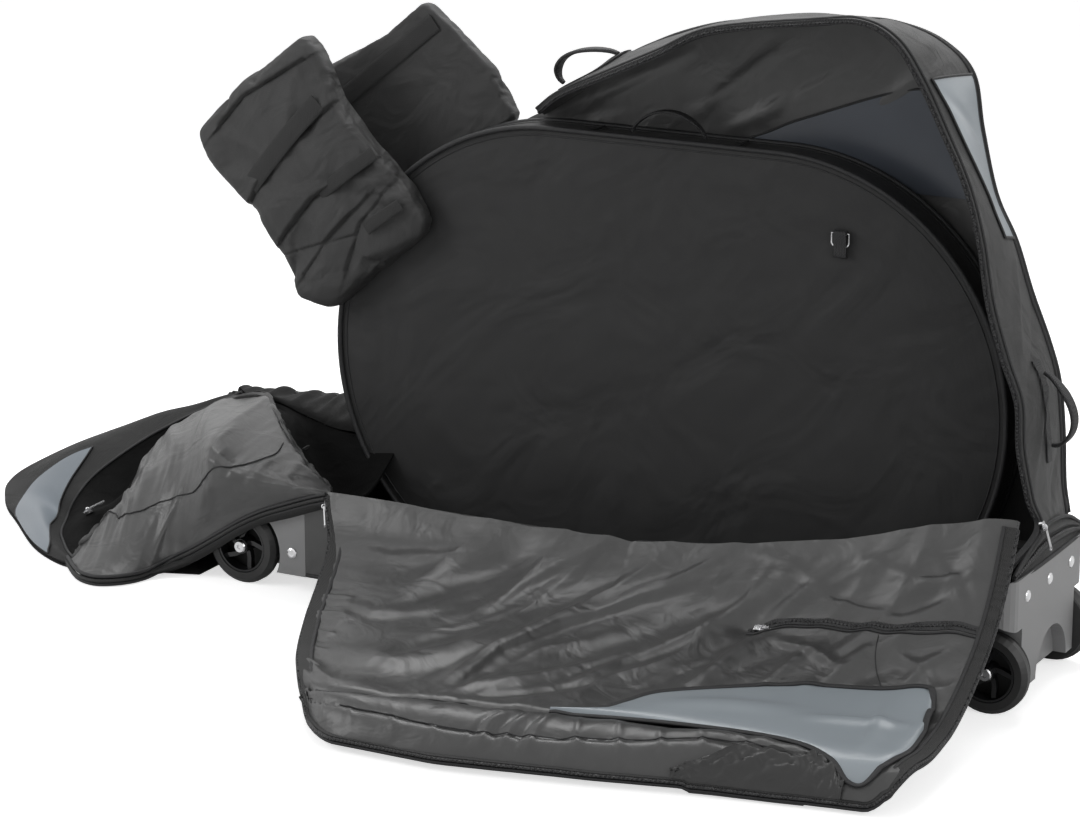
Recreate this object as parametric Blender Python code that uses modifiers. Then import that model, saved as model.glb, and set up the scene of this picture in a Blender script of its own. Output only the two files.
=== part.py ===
"""Soft travel bag for a bicycle, standing open on its four wheels.

The near side panel is folded down in front, the left end panel has fallen to the floor at
the left, and the far wall and its gusset stand as a hood over a padded wheel compartment.
Lengths are in metres. Left and right are along X, the near side is at -Y, and Z is up.
"""
import math

import bmesh
import bpy
from mathutils import Matrix, Vector

for old in list(bpy.data.objects):
    bpy.data.objects.remove(old, do_unlink=True)

# Fits
SEAT_GAP = 0.0003
RUNNING_GAP = 0.001
CUT_OVERRUN = 0.02

# Base: a fabric tray held between two moulded end caps
BASE_LENGTH = 1.320
BASE_WIDTH = 0.291
UNDERSIDE_HEIGHT = 0.030
CAP_TOP_HEIGHT = 0.200
TRAY_TOP_SHARE = 0.86
RIM_CREST_SHARE = 1.46
CAP_LENGTH = 0.160
CAP_WALL = 0.004
CAP_CORNER_RADIUS = 0.022
TRAY_WALL = 0.007
BOARD_THICKNESS = 0.006
BOARD_CLEARANCE = 0.003
RIM_THICKNESS_INSET = 0.001
HINGE_LIFT = 0.003

# Scooped hand hold in each cap's end face
SCOOP_RADIUS = 0.062
SCOOP_DEPTH = 0.020
SCOOP_OFFSET = 0.018

# Rivets
RIVET_HEAD_RADIUS = 0.009
RIVET_HEAD_HEIGHT = 0.0028
RIVET_SHANK_RADIUS = 0.0024
RIVET_HOLE_RADIUS = 0.0028
RIVET_DIMPLE_RADIUS = 0.003
RIVET_TOP_MARGIN = 0.032
RIVET_PITCH = 0.088
SIDE_RIVET_INSET = 0.136
SIDE_RIVET_HEIGHT = 0.066

# Wheels
WHEEL_RADIUS = 0.061
WHEEL_WIDTH = 0.024
WHEEL_BASE = 1.242
WHEEL_TRACK = 0.258
TYRE_THICKNESS = 0.018
TYRE_SHOULDER = 0.007
RIM_THICKNESS = 0.004
RIM_WIDTH = 0.022
HUB_RADIUS = 0.012
SPOKE_COUNT = 5
SPOKE_WIDTH = 0.007
SPOKE_DEPTH = 0.010
SPOKE_SWEEP_DEG = 38.0
ARCH_RADIUS = 0.075
ARCH_INNER_WIDTH = 0.210
AXLE_RADIUS = 0.005
AXLE_HEAD_RADIUS = 0.010
AXLE_HEAD_HEIGHT = 0.004
SOCKET_RADIUS = 0.0045
SOCKET_DEPTH = 0.0025

# Wheel compartment: a padded box shaped round two overlapping bicycle wheels
POCKET_LENGTH = 1.123
POCKET_TOP_SHARE = 0.76280
POCKET_ROUND_SHARE = 0.51370
POCKET_DEPTH = 0.070
POCKET_WALL = 0.010
POCKET_BACK_GAP = 0.003
LID_END_INSET = 0.065
LID_HANDLE_SHARE = 0.498
LID_HANDLE_RISE = 0.040
LID_HANDLE_WIDTH = 0.016
LID_HANDLE_THICKNESS = 0.004
LID_HANDLE_SINK = 0.0003

# Far wall and hood
WALL_NEAR_FACE = 0.1362
WALL_THICKNESS = 0.012
BAG_HEIGHT = 0.957
HOOD_WIDTH = 0.186
HOOD_THICKNESS = 0.008
HOOD_CROWN = 0.006

# Side panel folded down in front
PANEL_LEFT = -0.457
PANEL_RIGHT = 0.662
PANEL_LENGTH = 0.665
PANEL_THICKNESS = 0.018
PANEL_FLOOR_GAP = 0.0006

# Left end panel fallen to the floor
FALLEN_LENGTH = 0.585
FALLEN_NEAR_WIDTH = 0.220
FALLEN_THICKNESS = 0.012
FALLEN_RIM_SHARE = 1.14
FALLEN_FLOOR_GAP = 0.0006
GUSSET_THICKNESS = 0.006
GUSSET_LENGTH = 0.184
GUSSET_FAR_SHARE = 1.17

# Handlebar cover: two pads joined over the compartment's shoulder
PAD_THICKNESS = 0.040
PAD_EDGE_THICKNESS = 0.016
PAD_CORNER_RADIUS = 0.018
PAD_CHANNEL_DEPTH = 0.005
PAD_CHANNEL_PITCH = 0.105
PAD_STRAP_WIDTH = 0.050
PAD_STRAP_THICKNESS = 0.0025
PAD_STRAP_ANGLE = 138.5

# Carry handles
HANDLE_WIDTH = 0.024
HANDLE_THICKNESS = 0.006
ANCHOR_SPARE = 0.022
ANCHOR_THICKNESS = 0.003
ANCHOR_LIFT = 0.0009
HANDLE_FOOT_GAP = 0.0002
TOP_HANDLE_RISE = 0.040
END_HANDLE_RISE = 0.044

# D-ring on the compartment's face
RING_WIDTH = 0.030
RING_HEIGHT = 0.020
RING_WIRE_RADIUS = 0.0014
RING_X = 0.298
RING_Z = 0.622
TAB_WIDTH = 0.020
TAB_LENGTH = 0.036
TAB_THICKNESS = 0.0016

# Zip sliders and pulls
SLIDER_WIDTH = 0.011
SLIDER_LENGTH = 0.017
SLIDER_THICKNESS = 0.005
BRIDGE_RADIUS = 0.0034
BRIDGE_WIRE_RADIUS = 0.0009
PULL_WIDTH = 0.0076
PULL_LENGTH = 0.036
PULL_THICKNESS = 0.0018
PULL_RIM = 0.0016
PULL_EYE_RADIUS = 0.0027
PULL_HOLE_RADIUS = 0.0018
POCKET_ZIP_GAP = 0.0030
EDGE_ZIP_GAP = 0.0021
PANEL_ZIP_GAP = 0.0008

# Inlaid patches
PATCH_THICKNESS = 0.0012
PATCH_LIFT = 0.0012

# Zip tapes round the openings
TAPE_THICKNESS = 0.0015
TAPE_LIFT = 0.0011
TAPE_HALF_WIDTH = 0.003

# Facets
ROUND_SIDES = 40
SMALL_SIDES = 16
ARC_STEPS = 10

# Derived sizes of the base
TRAY_TOP_HEIGHT = TRAY_TOP_SHARE * CAP_TOP_HEIGHT
CAP_SIDE_TOP_HEIGHT = TRAY_TOP_HEIGHT
RIM_CREST_HEIGHT = RIM_CREST_SHARE * CAP_TOP_HEIGHT
FALLEN_RIM_HEIGHT = FALLEN_RIM_SHARE * CAP_TOP_HEIGHT
GUSSET_FAR_HEIGHT = GUSSET_FAR_SHARE * CAP_TOP_HEIGHT
HALF_LENGTH = BASE_LENGTH / 2
HALF_WIDTH = BASE_WIDTH / 2
WHEEL_X = WHEEL_BASE / 2
WHEEL_Y = WHEEL_TRACK / 2
ARCH_INNER_Y = ARCH_INNER_WIDTH / 2
TRAY_BOTTOM = UNDERSIDE_HEIGHT + CAP_WALL + SEAT_GAP
BOARD_BOTTOM = TRAY_BOTTOM + TRAY_WALL + SEAT_GAP
BOARD_TOP = BOARD_BOTTOM + BOARD_THICKNESS
CAP_START = HALF_LENGTH - CAP_LENGTH
POCKET_TOP_HEIGHT = POCKET_TOP_SHARE * BAG_HEIGHT
POCKET_END_RADIUS = POCKET_ROUND_SHARE * POCKET_TOP_HEIGHT
POCKET_NEAR_FACE = WALL_NEAR_FACE - POCKET_BACK_GAP - POCKET_DEPTH
POCKET_BACK_FACE = POCKET_NEAR_FACE + POCKET_DEPTH
HINGE_Y = -HALF_WIDTH - SEAT_GAP
HINGE_Z = TRAY_TOP_HEIGHT + HINGE_LIFT
FALLEN_HINGE_X = -HALF_LENGTH - 2 * SEAT_GAP

BAG = bpy.data.collections.new("soft_bike_travel_bag")
CUTTERS = bpy.data.collections.new("cutters")
bpy.context.scene.collection.children.link(BAG)
bpy.context.scene.collection.children.link(CUTTERS)

# The frame's origin is on the floor under the middle of everything the open bag covers
LEFT_REACH = HALF_LENGTH + FALLEN_LENGTH
RIGHT_REACH = WHEEL_X + WHEEL_RADIUS
FAR_REACH = WALL_NEAR_FACE + PAD_THICKNESS
ORIGIN_X = (RIGHT_REACH - LEFT_REACH) / 2
ORIGIN_Y = (FAR_REACH - PANEL_LENGTH) / 2
origin = bpy.data.objects.new("bag_origin", None)
origin.location = (-ORIGIN_X, -ORIGIN_Y, 0)
BAG.objects.link(origin)


# Materials
def material(name, color, roughness, metallic=0.0):
    made = bpy.data.materials.new(name)
    made.use_nodes = True
    shader = made.node_tree.nodes["Principled BSDF"]
    shader.inputs["Base Color"].default_value = (*color, 1)
    shader.inputs["Roughness"].default_value = roughness
    shader.inputs["Metallic"].default_value = metallic
    return made


OUTER_FABRIC = material("outer_fabric", (0.055, 0.055, 0.057), 0.85)
LINING = material("lining", (0.085, 0.085, 0.085), 0.6)
POCKET_FABRIC = material("pocket_fabric", (0.03, 0.03, 0.031), 0.8)
PATCH_SHEET = material("patch_sheet", (0.25, 0.30, 0.35), 0.45)
MOULDED_CAP = material("moulded_cap", (0.17, 0.17, 0.17), 0.45)
TYRE_RUBBER = material("tyre_rubber", (0.02, 0.02, 0.02), 0.7)
GLOSS_RIM = material("gloss_rim", (0.01, 0.01, 0.01), 0.2)
BRIGHT_METAL = material("bright_metal", (0.7, 0.7, 0.7), 0.25, 1.0)
WEBBING = material("webbing", (0.025, 0.025, 0.025), 0.8)
STIFF_BOARD = material("stiff_board", (0.05, 0.05, 0.05), 0.7)


# Making and placing objects
def add_object(name, data, look, parent=None, matrix=None, cutter=False):
    """Link data as a named piece of the bag, or as a hidden cutter."""
    made = bpy.data.objects.new(name, data)
    (CUTTERS if cutter else BAG).objects.link(made)
    made.parent = parent or origin
    if matrix is not None:
        made.matrix_basis = matrix
    if cutter:
        made.hide_render = True
        made.display_type = "WIRE"
    else:
        data.materials.append(look)
    return made


def mesh_of(bm, name, smooth_angle=None):
    bmesh.ops.recalc_face_normals(bm, faces=bm.faces)
    mesh = bpy.data.meshes.new(name)
    bm.to_mesh(mesh)
    bm.free()
    if smooth_angle is not None:
        mesh.shade_smooth()
        mesh.set_sharp_from_angle(angle=math.radians(smooth_angle))
    return mesh


def block_bm(low, high):
    """A box between two corners."""
    bm = bmesh.new()
    bmesh.ops.create_cube(bm, size=1)
    size = [h - l for l, h in zip(low, high)]
    middle = [(l + h) / 2 for l, h in zip(low, high)]
    bmesh.ops.scale(bm, vec=size, verts=bm.verts)
    bmesh.ops.translate(bm, vec=middle, verts=bm.verts)
    return bm


def round_upright_edges(bm, radius, at):
    """Round the upright edges whose ends satisfy at(x, y)."""
    edges = [e for e in bm.edges
             if abs(e.verts[0].co.z - e.verts[1].co.z) > radius
             and all(at(v.co.x, v.co.y) for v in e.verts)]
    bmesh.ops.bevel(bm, geom=edges, offset=radius, segments=4, affect="EDGES", profile=0.5)


def cylinder_bm(radius, low, high, axis, centre, sides=ROUND_SIDES):
    """A cylinder along X, Y or Z between two stations; centre gives its other two places."""
    bm = bmesh.new()
    bmesh.ops.create_cone(bm, cap_ends=True, segments=sides, radius1=radius, radius2=radius,
                          depth=high - low)
    turn = {"X": Matrix.Rotation(math.pi / 2, 3, "Y"),
            "Y": Matrix.Rotation(-math.pi / 2, 3, "X"),
            "Z": Matrix.Identity(3)}[axis]
    bmesh.ops.rotate(bm, cent=(0, 0, 0), matrix=turn, verts=bm.verts)
    place = list(centre)
    place.insert("XYZ".index(axis), (low + high) / 2)
    bmesh.ops.translate(bm, vec=place, verts=bm.verts)
    return bm


def cut(target, tool, operation="DIFFERENCE"):
    step = target.modifiers.new(tool.name, "BOOLEAN")
    step.operation = operation
    step.object = tool
    step.solver = "EXACT"


def flat_piece(name, outlines, thickness, look, matrix, parent=None, cutter=False):
    """A flat plate: closed outlines in its own XY plane, outer one first, then its holes."""
    curve = bpy.data.curves.new(name, "CURVE")
    curve.dimensions = "2D"
    curve.fill_mode = "BOTH"
    curve.extrude = thickness / 2
    for outline in outlines:
        spline = curve.splines.new("POLY")
        spline.points.add(len(outline) - 1)
        for point, (x, y) in zip(spline.points, outline):
            point.co = (x, y, 0, 1)
        spline.use_cyclic_u = True
    return add_object(name, curve, look, parent, matrix, cutter)


def as_mesh(curve_object):
    """Turn a flat curve piece into a welded mesh, so that it can be cut."""
    bpy.context.view_layer.update()
    seen = curve_object.evaluated_get(bpy.context.evaluated_depsgraph_get())
    mesh = bpy.data.meshes.new_from_object(seen)
    bm = bmesh.new()
    bm.from_mesh(mesh)
    bmesh.ops.remove_doubles(bm, verts=bm.verts, dist=SEAT_GAP / 10)
    bmesh.ops.recalc_face_normals(bm, faces=bm.faces)
    bm.to_mesh(mesh)
    bm.free()
    name, parent, matrix = curve_object.name, curve_object.parent, curve_object.matrix_basis.copy()
    hidden = curve_object.hide_render
    bpy.data.objects.remove(curve_object)
    made = bpy.data.objects.new(name, mesh)
    (CUTTERS if hidden else BAG).objects.link(made)
    made.parent = parent
    made.matrix_basis = matrix
    made.hide_render = hidden
    made.display_type = "WIRE" if hidden else "TEXTURED"
    return made


UPRIGHT = Matrix.Rotation(math.pi / 2, 4, "X")


def upright_at(y):
    """Stands a flat piece up in the XZ plane with its middle at y."""
    return Matrix.Translation((0, y, 0)) @ UPRIGHT


def closed_sheet(name, near_rows, far_rows, look, parent=None, matrix=None):
    """A solid between two facing grids of points with the same number of rows and columns."""
    bm = bmesh.new()
    sides = []
    for rows in (near_rows, far_rows):
        sides.append([[bm.verts.new(p) for p in row] for row in rows])
    top, bottom = sides
    last_row, last_column = len(top) - 1, len(top[0]) - 1
    for side in sides:
        for r in range(last_row):
            for c in range(last_column):
                bm.faces.new((side[r][c], side[r][c + 1], side[r + 1][c + 1], side[r + 1][c]))
    rim = [(0, c) for c in range(last_column)]
    rim += [(r, last_column) for r in range(last_row)]
    rim += [(last_row, c) for c in range(last_column, 0, -1)]
    rim += [(r, 0) for r in range(last_row, 0, -1)]
    for (r1, c1), (r2, c2) in zip(rim, rim[1:] + rim[:1]):
        bm.faces.new((top[r1][c1], top[r2][c2], bottom[r2][c2], bottom[r1][c1]))
    bmesh.ops.triangulate(bm, faces=bm.faces)
    return add_object(name, mesh_of(bm, name, 40), look, parent, matrix)


def offset_rows(rows, distance):
    """The same grid of points moved off its surface."""
    moved = []
    for r, row in enumerate(rows):
        line = []
        for c, point in enumerate(row):
            along_rows = rows[min(r + 1, len(rows) - 1)][c] - rows[max(r - 1, 0)][c]
            along_row = row[min(c + 1, len(row) - 1)] - row[max(c - 1, 0)]
            line.append(point + along_rows.cross(along_row).normalized() * distance)
        moved.append(line)
    return moved


def edge_tape(name, path, ups):
    """A zip tape along the free edge of a cloth, standing off it on the side away from inside."""
    inner, outer = [[], []], [[], []]
    for i, (point, up) in enumerate(zip(path, ups)):
        ahead = path[min(i + 1, len(path) - 1)] - path[max(i - 1, 0)]
        out = ahead.cross(up).normalized()
        for side, (near, far) in enumerate(zip(inner, outer)):
            edge = point + up * TAPE_HALF_WIDTH * (1 - 2 * side)
            near.append(edge + out * TAPE_LIFT)
            far.append(edge + out * (TAPE_LIFT + TAPE_THICKNESS))
    closed_sheet(name, outer, inner, WEBBING)


def rounded(corners, radius, steps=3):
    """A closed outline with each of its corners turned on a radius."""
    outline = []
    for before, corner, after in zip(corners[-1:] + corners, corners, corners[1:] + corners[:1]):
        back, ahead = (before - corner).normalized(), (after - corner).normalized()
        reach = radius / math.tan(math.acos(back.dot(ahead)) / 2)
        start, end = corner + back * reach, corner + ahead * reach
        for i in range(steps + 1):
            t = i / steps
            outline.append(start.lerp(corner, t).lerp(corner.lerp(end, t), t))
    return outline


def smooth_through(points, steps):
    """Points along a smooth curve through the given ones, steps to each span."""
    vectors = [Vector(p) for p in points]
    padded = [2 * vectors[0] - vectors[1]] + vectors + [2 * vectors[-1] - vectors[-2]]
    path = []
    for a, b, c, d in zip(padded, padded[1:], padded[2:], padded[3:]):
        for i in range(steps):
            t = i / steps
            path.append(0.5 * (2 * b + (c - a) * t + (2 * a - 5 * b + 4 * c - d) * t ** 2
                               + (3 * b - a - 3 * c + d) * t ** 3))
    return path + [vectors[-1]]


def along(path, share):
    """The point at a share of the way through a list of points."""
    place = min(max(share, 0), 1) * (len(path) - 1)
    i = min(int(place), len(path) - 2)
    return path[i].lerp(path[i + 1], place - i)


def sweep(name, path, half_widths, half_thickness, width_axis, look):
    """A strap: an oval section carried along a path, with its half width there along width_axis."""
    bm = bmesh.new()
    rings = []
    for i, point in enumerate(path):
        ahead = path[min(i + 1, len(path) - 1)] - path[max(i - 1, 0)]
        side = (width_axis - ahead * width_axis.dot(ahead) / ahead.length_squared).normalized()
        out = ahead.cross(side).normalized()
        ring = []
        for k in range(SMALL_SIDES // 2):
            a = 2 * math.pi * (k + 0.5) / (SMALL_SIDES // 2)
            across = side * half_widths[i] * math.copysign(abs(math.cos(a)) ** 0.5, math.cos(a))
            ring.append(bm.verts.new(point + across + out * half_thickness * math.sin(a)))
        rings.append(ring)
    for first, second in zip(rings, rings[1:]):
        for k in range(len(first)):
            n = (k + 1) % len(first)
            bm.faces.new((first[k], first[n], second[n], second[k]))
    bm.faces.new(rings[0])
    bm.faces.new(rings[-1])
    return add_object(name, mesh_of(bm, name, 50), look)


# Base tray, its floor stepped down between the caps so that both are level underneath
def tray_outline(inset):
    """Plan of the tray: full width between the caps, stepped in inside them."""
    wide, capped = HALF_WIDTH - inset, HALF_WIDTH - CAP_WALL - SEAT_GAP - inset
    narrow = ARCH_INNER_Y - CAP_WALL - SEAT_GAP - inset
    to_cap = CAP_START - SEAT_GAP - inset
    to_arch = WHEEL_X - ARCH_RADIUS - CAP_WALL - SEAT_GAP - inset
    to_end = HALF_LENGTH - SCOOP_DEPTH - CAP_WALL - HOOD_THICKNESS - 4 * SEAT_GAP - inset
    right = [(to_cap, wide), (to_cap, capped), (to_arch, capped), (to_arch, narrow),
             (to_end, narrow)]
    half = right + [(x, -y) for x, y in reversed(right)]
    return half + [(-x, -y) for x, y in half]


# The near wall's cloth rises towards the right. Shares are of half length and of its rise.
RIM_CREST_SHARES = ((0.10, 0.03), (0.383, 0.20), (0.620, 0.458), (0.803, 0.775),
                    (0.930, 0.97), (0.990, 1.0))


def make_tray():
    bm = bmesh.new()
    floor = bm.faces.new([bm.verts.new((x, y, TRAY_BOTTOM)) for x, y in tray_outline(0)])
    raised = bmesh.ops.extrude_edge_only(bm, edges=floor.edges)["geom"]
    bmesh.ops.translate(bm, vec=(0, 0, TRAY_TOP_HEIGHT - TRAY_BOTTOM),
                        verts=[v for v in raised if isinstance(v, bmesh.types.BMVert)])
    tray = add_object("base_tray", mesh_of(bm, "base_tray"), OUTER_FABRIC)
    walls = tray.modifiers.new("walls", "SOLIDIFY")
    walls.thickness = TRAY_WALL
    walls.offset = -1
    walls.use_even_offset = True
    outline = [(x * HALF_LENGTH, TRAY_TOP_HEIGHT + z * (RIM_CREST_HEIGHT - TRAY_TOP_HEIGHT))
               for x, z in RIM_CREST_SHARES]
    seam, cap_top = TRAY_TOP_HEIGHT + SEAT_GAP, CAP_TOP_HEIGHT + SEAT_GAP
    notch, joint = HALF_LENGTH - CAP_CORNER_RADIUS - SEAT_GAP, CAP_START - TRAY_WALL
    right, left = outline[-1][0], outline[0][0]
    outline += [(right, cap_top), (notch, cap_top), (notch, seam), (joint, seam),
                (joint, TRAY_TOP_HEIGHT - 2 * TRAY_WALL), (left, TRAY_TOP_HEIGHT - 2 * TRAY_WALL)]
    rim = as_mesh(flat_piece("rim_cloth", [outline], TRAY_WALL - 2 * RIM_THICKNESS_INSET, None,
                             upright_at(TRAY_WALL / 2 - HALF_WIDTH), cutter=True))
    cut(tray, rim, "UNION")
    to_cap, wide = CAP_START - 2 * SEAT_GAP, HALF_WIDTH - RIM_THICKNESS_INSET
    cut(tray, add_object("tray_step", mesh_of(block_bm(
        (-to_cap, -wide, UNDERSIDE_HEIGHT), (to_cap, wide, TRAY_BOTTOM + TRAY_WALL / 2)), "step"),
        None, cutter=True), "UNION")
    place = Matrix.Translation((0, 0, (BOARD_BOTTOM + BOARD_TOP) / 2))
    flat_piece("floor_board", [tray_outline(TRAY_WALL + BOARD_CLEARANCE)], BOARD_THICKNESS,
               STIFF_BOARD, place)


# End caps, with wheel arches, hand scoop and rivet holes
def cap_rivets(side):
    """Places and outward directions of one cap's rivets, on the cap's outer faces."""
    end_height = CAP_TOP_HEIGHT - RIVET_TOP_MARGIN
    for i in (-1, 0, 1):
        yield Vector((side * HALF_LENGTH, i * RIVET_PITCH, end_height)), Vector((side, 0, 0))
    for y_side in (-1, 1):
        place = Vector((side * (HALF_LENGTH - SIDE_RIVET_INSET), y_side * HALF_WIDTH,
                        SIDE_RIVET_HEIGHT))
        yield place, Vector((0, y_side, 0))


def make_cap(name, side):
    def body(inset, top, start):
        ends = sorted((side * start, side * (HALF_LENGTH - inset)))
        bm = block_bm((ends[0], -HALF_WIDTH + inset, UNDERSIDE_HEIGHT + inset),
                      (ends[1], HALF_WIDTH - inset, top))
        end_x = side * (HALF_LENGTH - inset)
        round_upright_edges(bm, CAP_CORNER_RADIUS - inset,
                            lambda x, y: abs(x - end_x) < SEAT_GAP)
        return bm

    def cutter(label, bm):
        return add_object(f"{name}_{label}", mesh_of(bm, label), None, cutter=True)

    def arch(label, y_side, radius, inner):
        ends = sorted((y_side * inner, y_side * (HALF_WIDTH + CUT_OVERRUN)))
        return cutter(label, cylinder_bm(radius, *ends, "Y", (side * WHEEL_X, WHEEL_RADIUS)))

    def scoop(label, radius, depth):
        ends = sorted((side * (HALF_LENGTH - depth), side * (HALF_LENGTH + CUT_OVERRUN)))
        return cutter(label, cylinder_bm(radius, *ends, "X", (SCOOP_OFFSET, UNDERSIDE_HEIGHT)))

    cap = add_object(name, mesh_of(body(0, CAP_TOP_HEIGHT, CAP_START), name), MOULDED_CAP)
    hollow = cutter("hollow", body(CAP_WALL, CAP_TOP_HEIGHT + CUT_OVERRUN,
                                   CAP_START - CUT_OVERRUN))
    for y_side, label in ((-1, "near"), (1, "far")):
        cut(hollow, arch(f"{label}_arch_wall", y_side, ARCH_RADIUS + CAP_WALL,
                         ARCH_INNER_Y - CAP_WALL))
        cut(cap, arch(f"{label}_arch", y_side, ARCH_RADIUS, ARCH_INNER_Y))
    cut(hollow, scoop("scoop_wall", SCOOP_RADIUS + CAP_WALL, SCOOP_DEPTH + CAP_WALL))
    cut(cap, scoop("scoop", SCOOP_RADIUS, SCOOP_DEPTH))
    cut(cap, hollow)
    ends = sorted((side * (CAP_START - CUT_OVERRUN), side * (HALF_LENGTH - CAP_CORNER_RADIUS)))
    cut(cap, cutter("side_trim", block_bm(
        (ends[0], -HALF_WIDTH - CUT_OVERRUN, CAP_SIDE_TOP_HEIGHT),
        (ends[1], HALF_WIDTH + CUT_OVERRUN, CAP_TOP_HEIGHT + CUT_OVERRUN))))
    for i, (place, out) in enumerate(cap_rivets(side), start=1):
        axis = "X" if out.x else "Y"
        station = place.x if out.x else place.y
        centre = (place.y, place.z) if out.x else (place.x, place.z)
        hole = cylinder_bm(RIVET_HOLE_RADIUS, station - CAP_WALL - CUT_OVERRUN / 10,
                           station + CAP_WALL + CUT_OVERRUN / 10, axis, centre, SMALL_SIDES // 2)
        cut(cap, cutter(f"rivet_hole_{i}", hole))
        make_rivet(f"{name.replace('end_cap', 'rivet')}_{i}", place, out)


def make_rivet(name, place, out):
    """A domed tubular rivet, turned about its own Z, its head on the cap's outer face."""
    dome = [(RIVET_SHANK_RADIUS, -CAP_WALL), (RIVET_SHANK_RADIUS, SEAT_GAP),
            (RIVET_HEAD_RADIUS, SEAT_GAP), (0.92 * RIVET_HEAD_RADIUS, 0.55 * RIVET_HEAD_HEIGHT),
            (0.62 * RIVET_HEAD_RADIUS, RIVET_HEAD_HEIGHT),
            (RIVET_DIMPLE_RADIUS, 0.9 * RIVET_HEAD_HEIGHT)]
    matrix = Matrix.Translation(place) @ out.to_track_quat("Z", "Y").to_matrix().to_4x4()
    add_object(name, turned(name, dome, SMALL_SIDES), BRIGHT_METAL, matrix=matrix)


def turned(name, profile, sides):
    """A solid turned about Z from a profile of (radius, height), closed across at both ends."""
    bm = bmesh.new()
    rings = []
    for radius, height in profile:
        rings.append([bm.verts.new((radius * math.cos(2 * math.pi * k / sides),
                                    radius * math.sin(2 * math.pi * k / sides), height))
                      for k in range(sides)])
    for first, second in zip(rings, rings[1:]):
        for k in range(sides):
            n = (k + 1) % sides
            bm.faces.new((first[k], first[n], second[n], second[k]))
    bm.faces.new(rings[0])
    bm.faces.new(rings[-1])
    return mesh_of(bm, name, 35)


# Wheels on stub axles
def ring_bm(outer, inner, half_width, chamfer, sides):
    """A ring about Y, its outer corners chamfered."""
    section = [(inner, -half_width), (outer - chamfer, -half_width),
               (outer, -half_width + chamfer), (outer, half_width - chamfer),
               (outer - chamfer, half_width), (inner, half_width)]
    bm = bmesh.new()
    rings = []
    for k in range(sides):
        a = 2 * math.pi * k / sides
        rings.append([bm.verts.new((r * math.cos(a), y, r * math.sin(a))) for r, y in section])
    for k in range(sides):
        for i in range(len(section)):
            j = (i + 1) % len(section)
            n = (k + 1) % sides
            bm.faces.new((rings[k][i], rings[k][j], rings[n][j], rings[n][i]))
    return bm


def spoke_outline(start_deg):
    """One curved spoke from the hub into the rim, as a closed outline in the wheel's plane."""
    rim_inner = WHEEL_RADIUS - TYRE_THICKNESS - RIM_THICKNESS
    middle = []
    for i in range(ARC_STEPS // 2 + 1):
        t = i / (ARC_STEPS // 2)
        radius = HUB_RADIUS - RIM_THICKNESS + t * (rim_inner - HUB_RADIUS + 1.4 * RIM_THICKNESS)
        a = math.radians(start_deg + SPOKE_SWEEP_DEG * math.sin(math.pi / 2 * t))
        middle.append(Vector((radius * math.cos(a), radius * math.sin(a))))
    left, right = [], []
    for i, point in enumerate(middle):
        ahead = middle[min(i + 1, len(middle) - 1)] - middle[max(i - 1, 0)]
        off = Vector((-ahead.y, ahead.x)).normalized() * SPOKE_WIDTH / 2
        left.append(tuple(point + off))
        right.append(tuple(point - off))
    return left + right[::-1]


def wheel_meshes():
    """Tyre and spoked hub, both centred on the origin with their axle along Y."""
    rim_outer = WHEEL_RADIUS - TYRE_THICKNESS
    tyre = mesh_of(ring_bm(WHEEL_RADIUS, rim_outer + SEAT_GAP, WHEEL_WIDTH / 2, TYRE_SHOULDER,
                           ROUND_SIDES), "tyre", 40)
    rim = add_object("hub_rim", mesh_of(ring_bm(rim_outer, rim_outer - RIM_THICKNESS,
                                                RIM_WIDTH / 2, RIM_THICKNESS / 4, ROUND_SIDES),
                                        "rim"), None, cutter=True)
    boss_half = WHEEL_Y - ARCH_INNER_Y - 2 * RUNNING_GAP
    boss = add_object("hub_boss", mesh_of(cylinder_bm(HUB_RADIUS, -boss_half, WHEEL_WIDTH / 2,
                                                      "Y", (0, 0), SMALL_SIDES * 3 // 2),
                                          "boss"), None, cutter=True)
    cut(rim, boss, "UNION")
    for i in range(SPOKE_COUNT):
        outline = spoke_outline(360 / SPOKE_COUNT * i)
        spoke = as_mesh(flat_piece(f"spoke_{i + 1}", [outline], SPOKE_DEPTH, None, UPRIGHT,
                                   cutter=True))
        cut(rim, spoke, "UNION")
    bore = add_object("hub_bore", mesh_of(cylinder_bm(AXLE_RADIUS + RUNNING_GAP / 2,
                                                      -WHEEL_Y, WHEEL_Y, "Y", (0, 0),
                                                      SMALL_SIDES), "bore"), None, cutter=True)
    cut(rim, bore)
    bpy.context.view_layer.update()
    seen = rim.evaluated_get(bpy.context.evaluated_depsgraph_get())
    hub = bpy.data.meshes.new_from_object(seen)
    hub.name = "hub"
    return tyre, hub


def make_wheels():
    tyre, hub = wheel_meshes()
    tyre.materials.append(TYRE_RUBBER)
    hub.materials.clear()
    hub.materials.append(GLOSS_RIM)
    number = 0
    for x_side in (-1, 1):
        for y_side in (-1, 1):
            number += 1
            place = Vector((x_side * WHEEL_X, y_side * WHEEL_Y, WHEEL_RADIUS))
            turn = Matrix.Rotation(math.pi if y_side < 0 else 0, 4, "Z")
            matrix = Matrix.Translation(place) @ turn
            for label, mesh in (("tyre", tyre), ("hub", hub)):
                made = bpy.data.objects.new(f"wheel_{number}_{label}", mesh)
                BAG.objects.link(made)
                made.parent = origin
                made.matrix_basis = matrix
            make_axle(f"axle_bolt_{number}", x_side, y_side)


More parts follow.
